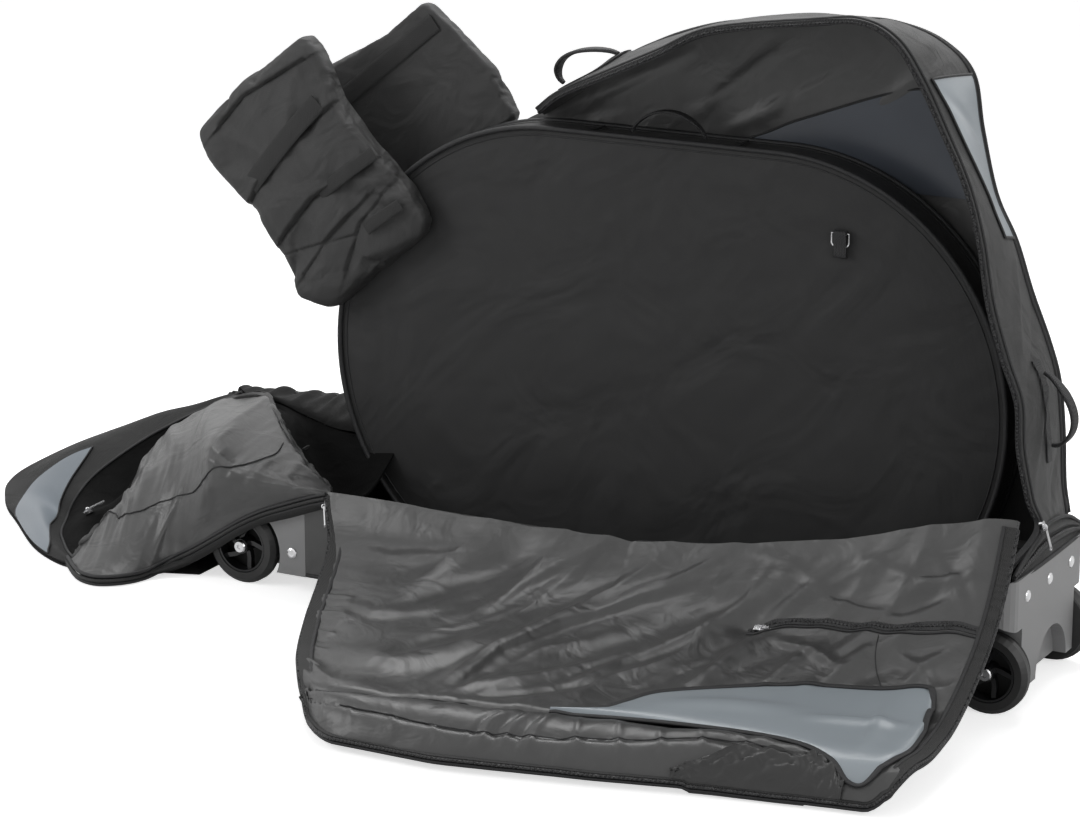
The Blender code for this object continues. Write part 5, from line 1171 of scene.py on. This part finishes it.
pocket_zip = panel_run(((0.660, 0.268), (0.700, 0.256), (0.732, 0.250), (0.802, 0.250),
                        (0.873, 0.262), (0.941, 0.251), (0.985, 0.258)), 80)


def pocket_tape(u, v):
    """A place on the tape of the panel's inner pocket: u along it, v across it."""
    across, out = pocket_zip[int(round(u * 80))]
    return on_panel(across, out + 0.022 * (0.5 - v), 0.0010)


tape = lay_cloth("panel_pocket_tape", 80, 4, pocket_tape)
back_cloth(tape, 0.0014, [webbing], offset=0)
go_with(tape, "side_panel", "webbing")
panel_cord("panel_pocket_zip", pocket_zip, 0.0020, 0.0014, coil, 100)
panel_cord("panel_pocket_lip", [(a, o + 0.018) for a, o in pocket_zip], 0.0018, 0.0010, count=100)
panel_cord("panel_pocket_seam", ((0.846, 0.285), (0.854, 0.366), (0.879, 0.470)), 0.0008, 0.0005)

inlay_top = smooth_line([(0.478, 0.828), (0.535, 0.770), (0.561, 0.708), (0.596, 0.636),
                         (0.683, 0.563), (0.772, 0.510), (0.879, 0.484), (0.929, 0.456),
                         (0.952, 0.470), (0.964, 0.540)], 8)
inlay_foot = smooth_line([(0.478, 0.838), (0.578, 0.814), (0.671, 0.809), (0.762, 0.815),
                          (0.822, 0.843), (0.877, 0.908), (0.918, 0.962), (0.955, 0.950),
                          (0.972, 0.820), (0.970, 0.640)], 8)
inlay_folds = polyline_folds([([(0.80, 0.70), (0.87, 0.68), (0.955, 0.66)], 0.014, 0.012, 0.006),
                              ([(0.895, 0.50), (0.905, 0.66), (0.915, 0.86)], 0.012, 0.020, 0.006),
                              ([(0.60, 0.72), (0.70, 0.68), (0.80, 0.66)], 0.020, 0.020, 0.005)],
                             panel_width, panel_out)


def panel_inlay_place(u, v):
    """A place on the inlay, which is stiffer than the lining that it is sewn to."""
    spot = along(inlay_top, u).lerp(along(inlay_foot, u), v)
    flat = panel_base(spot.x, spot.y)
    soft = panel_place(spot.x, spot.y)
    smooth = flat.z + 0.009 * math.sin(math.pi * v) ** 0.7 + 0.004
    folds = fold_height(spot.x * panel_width, spot.y * panel_out, inlay_folds)
    smooth += folds * math.sin(math.pi * v)
    soft.z = max(smooth, soft.z + 0.0014)
    return soft


patch = lay_cloth("panel_inlay", 120, 44, lambda u, v: panel_inlay_place(u, 1 - v))
back_cloth(patch, 0.0014, [inlay])
go_with(patch, "side_panel", "patch_sheet", "side_panel_patch")
rim = [panel_inlay_place(u / 120, 0) for u in range(121)]
rim += [panel_inlay_place(1, v / 12) for v in range(1, 12)]
rim += [panel_inlay_place(1 - u / 120, 1) for u in range(121)]
sew_band("panel_inlay_cord", [spot + Vector((0, 0, 0.0010)) for spot in rim], 0.0095, 0.0045,
         binding, "side_panel")

# Left end, fallen to the floor: its gusset lies open like a mouth, satin lining towards the
# viewer, coated cloth on the toe beyond it, a corded zip edge in front and a gathered back.
near_rail = smooth_line([(-0.458, -0.148, 0.168), (-0.487, -0.150, 0.159),
                         (-0.529, -0.151, 0.143), (-0.571, -0.152, 0.126),
                         (-0.614, -0.152, 0.103), (-0.657, -0.152, 0.075),
                         (-0.701, -0.152, 0.047), (-0.745, -0.154, 0.022),
                         (-0.761, -0.192, 0.012), (-0.774, -0.227, 0.012),
                         (-0.798, -0.251, 0.012), (-0.823, -0.258, 0.012),
                         (-0.859, -0.244, 0.012), (-0.910, -0.197, 0.012)], 6)
heart_rail = smooth_line([(-0.458, -0.1475, 0.169), (-0.500, -0.154, 0.178),
                          (-0.560, -0.156, 0.187), (-0.620, -0.156, 0.194),
                          (-0.666, -0.152, 0.213), (-0.705, -0.120, 0.200),
                          (-0.750, -0.090, 0.172), (-0.800, -0.080, 0.146),
                          (-0.850, -0.090, 0.110), (-0.880, -0.110, 0.074),
                          (-0.900, -0.150, 0.039), (-0.909, -0.192, 0.0125)], 6)
right_rail = [(-0.458, -0.146, 0.169), (-0.466, -0.122, 0.172), (-0.505, -0.105, 0.187),
              (-0.564, -0.062, 0.204), (-0.623, -0.008, 0.218), (-0.673, 0.043, 0.229),
              (-0.713, 0.085, 0.234), (-0.765, 0.106, 0.223)]
crest_rail = [(-0.822, 0.105, 0.206), (-0.844, 0.090, 0.197), (-0.874, 0.070, 0.174),
              (-0.898, 0.045, 0.150), (-0.913, 0.020, 0.120), (-0.913, -0.010, 0.094),
              (-0.904, -0.045, 0.071), (-0.903, -0.085, 0.050), (-0.905, -0.125, 0.035),
              (-0.895, -0.165, 0.023), (-0.885, -0.197, 0.0115)]
lining_rail = smooth_line(right_rail + crest_rail, 6)


def level(spot):
    """A place measured from the base's middle, kept off the floor."""
    return at(spot.x, spot.y, max(spot.z, floor_gap))


def between(rails, u, v):
    """A place between several rails, smoothly through all of them."""
    spots = smooth_line([along(rail, u) for rail in rails], 6)
    return along(spots, v)


def turned_in(u, inward, drop):
    """The lining's far edge moved over its crest: inward from it and down."""
    spot, heart = along(lining_rail, u), along(heart_rail, u)
    away = spot - heart
    away.z = 0
    reach = min(1, max(0, (u - 0.40) / 0.10)) * min(1, (1.001 - u) * 8)
    return spot + away.normalized() * inward * reach - Vector((0, 0, drop * reach))


shares = [k / 80 for k in range(81)]
crest_in = [turned_in(u, -0.026, -0.004) for u in shares]
crest_out = [turned_in(u, 0.010, 0.014) for u in shares]
end_creases = [([(0.70, 0.42), (0.695, 0.60), (0.65, 0.86)], 0.008, 0.014, 0.0075),
               ([(0.60, 0.40), (0.585, 0.60), (0.56, 0.84)], 0.008, 0.012, 0.0060),
               ([(0.52, 0.44), (0.49, 0.66), (0.47, 0.85)], 0.010, 0.016, -0.0060),
               ([(0.479, 0.04), (0.424, 0.144), (0.33, 0.20)], 0.006, 0.010, 0.0060),
               ([(0.53, 0.03), (0.49, 0.17), (0.42, 0.26)], 0.007, 0.010, -0.0060),
               ([(0.387, 0.05), (0.30, 0.19), (0.22, 0.33)], 0.007, 0.012, 0.0055),
               ([(0.342, 0.62), (0.24, 0.74)], 0.010, 0.014, 0.0060),
               ([(0.36, 0.78), (0.25, 0.88)], 0.008, 0.012, -0.0050),
               ([(0.84, 0.12), (0.83, 0.30), (0.87, 0.60)], 0.007, 0.010, 0.0070),
               ([(0.80, 0.10), (0.78, 0.30), (0.82, 0.62)], 0.007, 0.010, -0.0070),
               ([(0.75, 0.10), (0.745, 0.28), (0.79, 0.50)], 0.007, 0.012, 0.0070),
               ([(0.90, 0.15), (0.88, 0.40), (0.91, 0.75)], 0.006, 0.009, 0.0060),
               ([(0.62, 0.05), (0.567, 0.16), (0.545, 0.28)], 0.007, 0.010, 0.0050),
               ([(0.12, 0.20), (0.14, 0.50), (0.15, 0.88)], 0.006, 0.010, 0.0035),
               ([(0.20, 0.15), (0.17, 0.40)], 0.006, 0.010, -0.0040)]
end_wide, end_deep = 0.70, 0.30
end_folds = polyline_folds(end_creases, end_wide, end_deep)
pocket_line = ((0.86, 0.40), (0.80, 0.27), (0.742, 0.217), (0.633, 0.205), (0.425, 0.200),
               (0.300, 0.285), (0.235, 0.380), (0.195, 0.480), (0.198, 0.590))


def end_lining(u, v):
    """A place on the lining: u along its corded edge, v up over its crest."""
    spot = between((near_rail, heart_rail, crest_in, crest_out), u, v)
    calm = math.sin(math.pi * v) ** 0.6 * math.sin(math.pi * u) ** 0.4
    rise = fold_height(end_wide * u, end_deep * v, end_folds)
    slant = Vector((u * 22 + v * 3, v * 3.0, 5.0))
    rise += 0.0050 * noise.noise(slant)
    rise += 0.0030 * noise.noise(Vector((u * 46 + v * 8, v * 6, 2.0)))
    soft = max(0, rise) * calm
    flank = min(1, max(0, 1.8 - 3 * v))
    spot += Vector((0, -0.5 * flank * soft, soft))
    spot.z -= max(0, -rise) * calm * (0.9 if u > 0.45 else 0.1)
    spot.z += 0.008 * math.exp(-((u - 0.325) / 0.08) ** 2 - ((v - 0.30) / 0.16) ** 2)
    spot.y -= 0.004 * math.exp(-((u - 0.325) / 0.08) ** 2 - ((v - 0.24) / 0.12) ** 2)
    return level(spot)


lining = lay_cloth("end_lining", 180, 90, lambda u, v: end_lining(1 - u, v))
back_cloth(lining, 0.0035, [satin, outer_cloth, satin])


def pose_end(piece, slot, *nodes, fill=None):
    """A piece of the fallen end, which folds along the foot of the left cap's end face: it is laid
    there already, its place is baked into its points, and the solids that it stands for are hidden.
    """
    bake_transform(piece)
    if nodes:
        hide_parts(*nodes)
    return piece


def lifted(place, u, v, lift, step=0.004):
    """A place lifted off a cloth along its normal there."""
    across_u = place(min(u + step, 1), v) - place(max(u - step, 0), v)
    across_v = place(u, min(v + step, 1)) - place(u, max(v - step, 0))
    return place(u, v) + across_u.cross(across_v).normalized() * lift


pose_end(lining, "lining", "end_panel", fill=0.3)
seam_run = [lifted(end_lining, spot.x, spot.y, -0.0012) for spot in smooth_line(pocket_line, 10)]
pose_end(sew_cord("end_pocket_zip", seam_run, 0.0010, binding), "webbing")
mouth_rail = smooth_line([(-0.780, 0.118, 0.226), (-0.845, 0.130, 0.192), (-0.883, 0.100, 0.172),
                          (-0.932, 0.070, 0.142), (-0.981, 0.040, 0.104), (-1.010, 0.015, 0.075),
                          (-1.026, -0.010, 0.044), (-1.032, -0.029, 0.014), (-1.000, -0.090, 0.012),
                          (-0.965, -0.133, 0.012), (-0.924, -0.176, 0.012),
                          (-0.880, -0.210, 0.012)], 6)
toe_rail = smooth_line([(-0.760, 0.142, 0.226), (-0.823, 0.150, 0.210), (-0.900, 0.150, 0.179),
                        (-0.969, 0.150, 0.156), (-1.073, 0.145, 0.112), (-1.130, 0.120, 0.086),
                        (-1.218, 0.115, 0.037), (-1.244, 0.100, 0.012), (-1.215, 0.050, 0.010),
                        (-1.171, -0.003, 0.010), (-1.115, -0.055, 0.010), (-1.013, -0.150, 0.010),
                        (-0.935, -0.198, 0.010), (-0.880, -0.212, 0.010)], 6)
crest_line = [along(crest_out, 0.44 + 0.56 * u) for u in shares]
cavity_heart = smooth_line([(-0.800, 0.112, 0.198), (-0.850, 0.080, 0.140), (-0.895, 0.040, 0.086),
                            (-0.930, 0.005, 0.056), (-0.955, -0.030, 0.048),
                            (-0.957, -0.071, 0.0455), (-0.945, -0.110, 0.026),
                            (-0.915, -0.160, 0.012), (-0.885, -0.202, 0.008)], 6)
# Painted shade: the satin lining goes on into the open end's cavity and the pouch, and is coloured
# near-black there for the shade inside; the toe's underside has it too.
lining_painted_shade = dye_cloth("lining_painted_shade", (0.0028, 0.0028, 0.0028), 0.85, (0.0009, 0.0001), (9, 0.004),
                        shine=0.12)
cavity = lay_cloth("end_cavity", 100, 40, lambda u, v: level(
    between((crest_line, cavity_heart, mouth_rail), 1 - u, v)))
back_cloth(cavity, 0.0045, [lining_painted_shade, outer_cloth, binding])
pose_end(cavity, "lining", fill=0.2)


def toe_mid(u):
    """A place on the toe's padded middle, between the mouth and its far edge."""
    spot = along(mouth_rail, u).lerp(along(toe_rail, u), 0.5)
    spot.z += 0.020 * math.sin(math.pi * u)
    return spot


toe_heart = [toe_mid(k / 60) for k in range(61)]


def end_toe(u, v):
    """A place on the toe: u along it, v out from the mouth."""
    spot = between((mouth_rail, toe_heart, toe_rail), u, v)
    spot.z += 0.003 * noise.noise(spot * 9) * math.sin(math.pi * v)
    return level(spot)


end_cloth = dye_cloth("end_outer_cloth", (0.0125, 0.0125, 0.0125), 0.66, (0.0011, 0.00015),
                      (9, 0.004), shine=0.30)
toe = lay_cloth("end_toe", 120, 50, lambda u, v: end_toe(1 - u, v))
back_cloth(toe, 0.0060, [end_cloth, lining_painted_shade, end_cloth])
pose_end(toe, "outer_fabric", fill=0.4)
steps = [k / 160 for k in range(161)]


def rail_run(rail, shift, low):
    """Places along a rail, shifted, and kept above a height."""
    run = [level(along(rail, s)) + Vector(shift) for s in steps]
    return [Vector((spot.x, spot.y, max(spot.z, low))) for spot in run]


for name, run, wide, material in (
        ("end_mouth_cord", rail_run(mouth_rail, (0, 0, 0.0015), 0.004), 0.0046, binding),
        ("end_near_cord", rail_run(near_rail, (0, -0.003, 0.0045), 0.006), 0.0062, binding),
        ("end_second_cord", rail_run(near_rail, (0, -0.004, -0.0080), 0.0035), 0.0058, binding),
        ("end_coil", rail_run(near_rail, (0, -0.006, -0.0018), 0.003), 0.0060, edge_tape)):
    cord = sew_cord(name, run, wide / 2, material)
    pose_end(cord, "webbing", *(["end_panel_zip_tape"] if name == "end_coil" else []))

# Outer cloth below the corded edge hangs over the near left wheel; behind, the gathered back of
# the end stands up to its fold, and a floor sheet closes the toe from below.
skirt_foot = smooth_line([(-0.458, -0.150, 0.150), (-0.520, -0.152, 0.126), (-0.571, -0.154, 0.108),
                          (-0.614, -0.154, 0.084), (-0.657, -0.154, 0.054), (-0.701, -0.154, 0.026),
                          (-0.745, -0.154, 0.004), (-0.790, -0.200, 0.002), (-0.860, -0.215, 0.002),
                          (-0.905, -0.190, 0.002)], 6)
skirt = lay_cloth("end_skirt", 120, 12, lambda u, v: level(
    along(near_rail, 1 - u).lerp(along(skirt_foot, 1 - u), 1 - v)
    + Vector((0, -0.002 - 0.004 * math.sin(math.pi * v), 0))))
back_cloth(skirt, 0.0030, [end_cloth])
pose_end(skirt, "outer_fabric", fill=0.2)
back_top = smooth_line([(-0.470, 0.134, 0.244), (-0.588, 0.140, 0.242), (-0.640, 0.142, 0.239),
                        (-0.682, 0.142, 0.236), (-0.738, 0.142, 0.229), (-0.823, 0.150, 0.208),
                        (-0.900, 0.150, 0.177), (-0.969, 0.150, 0.154), (-1.073, 0.145, 0.110),
                        (-1.130, 0.125, 0.084), (-1.218, 0.115, 0.035), (-1.243, 0.100, 0.010)], 6)
back_foot = smooth_line([(-0.470, 0.140, 0.205), (-0.588, 0.147, 0.150), (-0.640, 0.152, 0.120),
                         (-0.682, 0.156, 0.040), (-0.738, 0.156, 0.004), (-0.823, 0.158, 0.003),
                         (-0.900, 0.156, 0.003), (-0.969, 0.153, 0.003), (-1.073, 0.146, 0.003),
                         (-1.130, 0.126, 0.003), (-1.218, 0.116, 0.003), (-1.243, 0.101, 0.003)], 6)


def end_back(u, v):
    """A place on the gathered back: u along it, v up to its fold."""
    low, high = along(back_foot, u), along(back_top, u)
    spot = low.lerp(high, v)
    pleat = 0.005 * math.sin(spot.x * 150) * max(0, min(1, (spot.x + 0.86) / 0.12))
    spot.y += 0.010 * math.sin(math.pi * v) + pleat * v + 0.003 * noise.noise(spot * 12)
    spot.y = min(spot.y, 0.172)
    return level(spot)


back = lay_cloth("end_back", 160, 24, lambda u, v: end_back(1 - u, v))
back_cloth(back, 0.0050, [end_cloth, outer_cloth, binding], offset=1)
pose_end(back, "outer_fabric", fill=0.3)

# The gathered roll between the lining and the back, and the pouch that lines the left cap beneath
# it, painted near-black as the shade inside the bag.
roll_front = smooth_line([(-0.462, 0.085, 0.196), (-0.520, 0.088, 0.196), (-0.580, 0.092, 0.198),
                          (-0.630, 0.098, 0.206), (-0.665, 0.102, 0.214), (-0.705, 0.104, 0.224),
                          (-0.765, 0.112, 0.221)], 6)


def gathered(u, v):
    """The loose roll: over from the back's fold and down its front, drawn into soft pleats."""
    rear, front = along(back_top, 0.46 * u), along(roll_front, u)
    spot = rear.lerp(front, v)
    spot.z += 0.012 * math.sin(math.pi * v) ** 0.7
    spot.y -= 0.014 * math.sin(math.pi * v * v) * (1 - u)
    lean = spot.x * 105 + v * 3.2
    pleats = 0.0060 * math.sin(lean) * abs(math.sin(spot.x * 31 + 1.0))
    pleats += 0.003 * math.sin(lean * 2.3)
    slack = min(1, max(0.15, (-0.50 - spot.x) / 0.06))
    spot.z += pleats * math.sin(math.pi * min(1, v + 0.15)) * slack
    spot.z += 0.003 * noise.noise(spot * 16)
    return level(spot)


roll = lay_cloth("end_gather", 150, 36, gathered)
back_cloth(roll, 0.0050, [end_cloth])
pose_end(roll, "outer_fabric", "end_gusset", fill=0.2)
pouch_front = smooth_line(right_rail, 6)
pouch_deep = smooth_line([(-0.470, -0.010, 0.135), (-0.510, 0.000, 0.110), (-0.560, 0.015, 0.110),
                          (-0.605, 0.035, 0.150), (-0.643, 0.060, 0.207), (-0.690, 0.088, 0.219),
                          (-0.766, 0.109, 0.2205)], 6)
pouch = lay_cloth("end_pouch", 80, 30, lambda u, v: level(
    between((pouch_front, pouch_deep, roll_front), 1 - u, v) - Vector((0, 0, 0.002))))
back_cloth(pouch, 0.0030, [lining_painted_shade])
pose_end(pouch, "lining", fill=0.2)


def end_floor(u, v):
    """A place on the sheet under the toe, from its edge back to the left cap."""
    edge = along(toe_rail, 0.35 + 0.63 * u)
    return level(Vector((edge.x, edge.y, 0.002)).lerp(Vector((-0.70, 0.150 - 0.290 * u, 0.002)), v))


floor_sheet = lay_cloth("end_floor", 60, 24, end_floor)
back_cloth(floor_sheet, 0.0010, [outer_cloth], offset=0)
keep_off_floor(floor_sheet)
pose_end(floor_sheet, "outer_fabric", fill=0.1)

toe_inlay_high = smooth_line([(0.383, 0.391), (0.421, 0.435), (0.486, 0.467),
                              (0.567, 0.553), (0.665, 0.714), (0.765, 0.985)], 8)
toe_inlay_low = smooth_line([(0.383, 0.385), (0.421, 0.265), (0.475, 0.186),
                             (0.580, 0.142), (0.705, 0.164), (0.851, 0.484),
                             (0.900, 0.985)], 8)


def toe_inlay(u, v):
    """A place on the inlay, just off the toe."""
    spot = along(toe_inlay_low, u).lerp(along(toe_inlay_high, u), v)
    return lifted(lambda a, b: end_toe(1 - a, b), 1 - spot.x, spot.y, 0.0022)


patch = lay_cloth("toe_inlay", 60, 24, toe_inlay)
toe_patch = coat("toe_patch", (0.165, 0.190, 0.215), (0.215, 0.245, 0.275))
back_cloth(patch, 0.0016, [toe_patch], offset=0)
pose_end(patch, "patch_sheet", "end_panel_patch")
rim = [toe_inlay(k / 60, 0) for k in range(61)] + [toe_inlay(1 - k / 60, 1) for k in range(61)]
pose_end(sew_cord("toe_inlay_cord", rim, 0.0014, binding, closed=True), "webbing")


# Handlebar cover: two padded flaps of coated cloth joined over the compartment's shoulder by a
# broad strap. Each is sewn through in channels and crossed by webbing; its cloth is blown up with
# a light pressure, so that it wrinkles between the seams.
def pad_outline(points, radius=0.011):
    """A closed outline with its corners turned on a small radius."""
    line = []
    points = [Vector(p) for p in points]
    for before, corner, after in zip(points[-1:] + points, points, points[1:] + points[:1]):
        back, ahead = (before - corner).normalized(), (after - corner).normalized()
        turn = min(radius, (before - corner).length / 2.2, (after - corner).length / 2.2)
        start, end = corner + back * turn, corner + ahead * turn
        for k in range(6):
            t = k / 5
            line.append(start.lerp(corner, t).lerp(corner.lerp(end, t), t))
    dense = []
    for a, b in zip(line, line[1:] + line[:1]):
        pieces = max(1, int((b - a).length / 0.006))
        dense += [a.lerp(b, k / pieces) for k in range(pieces)]
    return dense


def seam_dip(x, z, seams):
    """How far the sewn seams pull the pad in at a place: a thin channel, and a soft fall of the
    panel below it, which is lapped under the one above."""
    dip = 0.0
    for points, width, deep in seams:
        off, side = from_line(points, x, z)[:2]
        lap = 0.42 * math.exp(-off / 0.030) if side > 0 else 0.0
        dip = max(dip, deep * max(0.55 * math.exp(-(off / width) ** 2), lap))
    return dip


def inflate(flap, cap, frames=14):
    """Lets the flap's cloth swell and wrinkle a little under pressure, by at most the cap."""
    before = [vertex.co.copy() for vertex in flap.data.vertices]
    swell = flap.modifiers.new("swell", "CLOTH")
    swell.settings.use_pressure = True
    swell.settings.uniform_pressure_force = 4.0
    swell.settings.tension_stiffness = 12
    swell.settings.compression_stiffness = 12
    swell.settings.shear_stiffness = 6
    swell.settings.bending_stiffness = 0.4
    swell.settings.quality = 5
    swell.settings.shrink_min = -0.06
    swell.settings.effector_weights.gravity = 0.0
    swell.point_cache.frame_end = frames
    scene.frame_set(1)
    for frame_number in range(1, frames + 1):
        scene.frame_set(frame_number)
    graph = bpy.context.evaluated_depsgraph_get()
    blown = [vertex.co.copy() for vertex in flap.evaluated_get(graph).data.vertices]
    flap.modifiers.remove(swell)
    scene.frame_set(1)
    for vertex, start, end in zip(flap.data.vertices, before, blown):
        move = end - start
        if move.length > cap:
            move *= cap / move.length
        vertex.co = start + move


pad_gap, pad_skin = 0.0003, 0.004
swell_limit = 0.010


def pad_shell(name, outline, flat_y, side, thick):
    """A pad's closed skin: a flat back, a crowned face and a wall that falls off at its edge."""
    heart = sum(outline, Vector()) / len(outline)
    total = len(outline)
    face, wall = 0.86, 0.14

    def place(u, v):
        rim = outline[int(round(u * total)) % total]
        ring = abs(2 * v - 1)
        out = min(1.0, ring / face)
        spot = heart.lerp(rim, out if out > 0.001 else 0.0)
        y = pad_gap
        if v > 0.5:
            crown = (1 - max(0, (out - 0.80) / 0.20) ** 2.6) ** 0.5 if out < 1 else 0.0
            y = thick * (0.62 + 0.38 * (1 - out ** 2.4)) * (0.80 + 0.20 * crown)
            if ring > face:
                y *= 1 - (ring - face) / wall
        return at(spot.x, flat_y + side * y, spot.z)
    return lay_cloth(name, total, 96, place)


def press_seams(flap, flat_y, side, seams):
    """Presses the seams' channels into a pad's face, adds slack, and lays its back flat."""
    for vertex in flap.data.vertices:
        x, z = vertex.co.x - middle.x, vertex.co.z
        deep = (vertex.co.y - middle.y - flat_y) * side
        if deep > pad_skin:
            dip = seam_dip(x, z, seams)
            slack = 0.0040 * noise.noise(Vector((x * 14 + z * 6, z * 14 - x * 6, side * 3)))
            slack += 0.0030 * noise.noise(Vector((x * 34 + z * 26, z * 12 - x * 9, side * 5)))
            deep = max(pad_skin, deep * (1 - 0.38 * dip) + slack * min(1, deep / 0.02))
            vertex.co.y = middle.y + flat_y + side * deep
        elif deep < pad_gap:
            vertex.co.y = middle.y + flat_y + side * pad_gap


def fill_pad(name, outline, flat_y, side, thick, seams, node):
    """A padded flap, thick and crowned, its back lying on what carries it."""
    flap = pad_shell(name, outline, flat_y, side, thick)
    join_points(0.0002, outward=True)
    mesh_net = flap.modifiers.new("net", "REMESH")
    mesh_net.mode = "VOXEL"
    mesh_net.voxel_size = 0.005
    bpy.ops.object.modifier_apply(modifier=mesh_net.name)
    inflate(flap, swell_limit)
    finer = flap.modifiers.new("finer", "SUBSURF")
    finer.levels = finer.render_levels = 1
    bpy.ops.object.modifier_apply(modifier=finer.name)
    press_seams(flap, flat_y, side, seams)
    flap.data.materials.clear()
    flap.data.materials.append(outer_cloth)
    shade_smooth(flap, 60)
    return go_with(flap, "handlebar_cover", "outer_fabric", node, fill=0.7)


strap_cloth = dye_cloth("pad_strap", (0.012, 0.012, 0.012), 0.70, (0.0014, 0.0002), (9, 0.002))


def lay_straps(name, straps, flat_y, side, thick):
    """Flat webbing straps sewn across a pad's face."""
    for number, (start, end, wide) in enumerate(straps, 1):
        run = []
        for k in range(25):
            t = k / 24
            x, z = start[0] + (end[0] - start[0]) * t, start[1] + (end[1] - start[1]) * t
            rise = thick * (0.86 + 0.16 * math.sin(math.pi * t))
            run.append(at(x, flat_y + side * rise, z))
        sew_band(f"{name}_strap_{number}", run, wide, 0.0026, strap_cloth, "handlebar_cover",
                 Vector((0, side, 0)))


near_back, far_back = box_near - middle.y - 0.0006, wall_face + 0.0006
near_pad = pad_outline([(-0.789, 0, 0.672), (-0.716, 0, 0.755), (-0.595, 0, 0.836),
                        (-0.573, 0, 0.818), (-0.528, 0, 0.744), (-0.464, 0, 0.675),
                        (-0.415, 0, 0.620), (-0.388, 0, 0.575), (-0.398, 0, 0.548),
                        (-0.537, 0, 0.428), (-0.559, 0, 0.419), (-0.614, 0, 0.430),
                        (-0.622, 0, 0.461), (-0.700, 0, 0.550), (-0.771, 0, 0.628)])
near_seams = [([(-0.745, 0.690), (-0.701, 0.739), (-0.591, 0.807)], 0.0030, 1.0),
              ([(-0.700, 0.560), (-0.640, 0.650), (-0.535, 0.745)], 0.0030, 1.0),
              ([(-0.636, 0.516), (-0.572, 0.592), (-0.452, 0.670)], 0.0030, 1.0),
              ([(-0.597, 0.464), (-0.555, 0.520), (-0.474, 0.607)], 0.0028, 0.8),
              ([(-0.519, 0.480), (-0.490, 0.560), (-0.426, 0.641)], 0.0028, 0.8),
              ([(-0.640, 0.490), (-0.560, 0.520), (-0.500, 0.540)], 0.0028, 0.7)]
fill_pad("near_pad", near_pad, near_back, -1, 0.050, near_seams, "handlebar_pad_near")
lay_straps("near_pad", [((-0.688, 0.600), (-0.562, 0.745), 0.030),
                        ((-0.560, 0.600), (-0.462, 0.675), 0.022),
                        ((-0.478, 0.553), (-0.416, 0.598), 0.020)], near_back, -1, 0.057)
far_pad = pad_outline([(-0.632, 0, 0.764), (-0.532, 0, 0.826), (-0.447, 0, 0.884),
                       (-0.435, 0, 0.882), (-0.392, 0, 0.852), (-0.329, 0, 0.797),
                       (-0.287, 0, 0.724), (-0.427, 0, 0.593), (-0.499, 0, 0.573)])
far_seams = [([(-0.477, 0.774), (-0.430, 0.800), (-0.347, 0.786)], 0.0040, 1.0),
             ([(-0.480, 0.800), (-0.420, 0.812), (-0.370, 0.800)], 0.0050, 0.8),
             ([(-0.520, 0.700), (-0.440, 0.745), (-0.320, 0.740)], 0.0040, 0.9)]
fill_pad("far_pad", far_pad, far_back, 1, 0.042, far_seams, "handlebar_pad_far")
lay_straps("far_pad", [((-0.590, 0.726), (-0.4225, 0.862), 0.030)], far_back, -1, 0.0022)
bridge_low, bridge_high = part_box("pad_bridge")
heart = at(-(box_half - box_radius), 0, box_high.z - box_radius)


def bridge_place(u, v):
    """A place on the strap that joins the pads over the compartment's shoulder."""
    angle, radius = math.radians(138.5) + (0.5 - u) * 0.134, box_radius + 0.0024
    y = bridge_low.y - heart.y + (bridge_high.y - bridge_low.y) * v
    return heart + Vector((radius * math.cos(angle), y, radius * math.sin(angle)))


strap = lay_cloth("pad_bridge_strap", 16, 20, bridge_place)
back_cloth(strap, 0.0020, [webbing], offset=0)
go_with(strap, "handlebar_cover", "webbing", "pad_bridge")
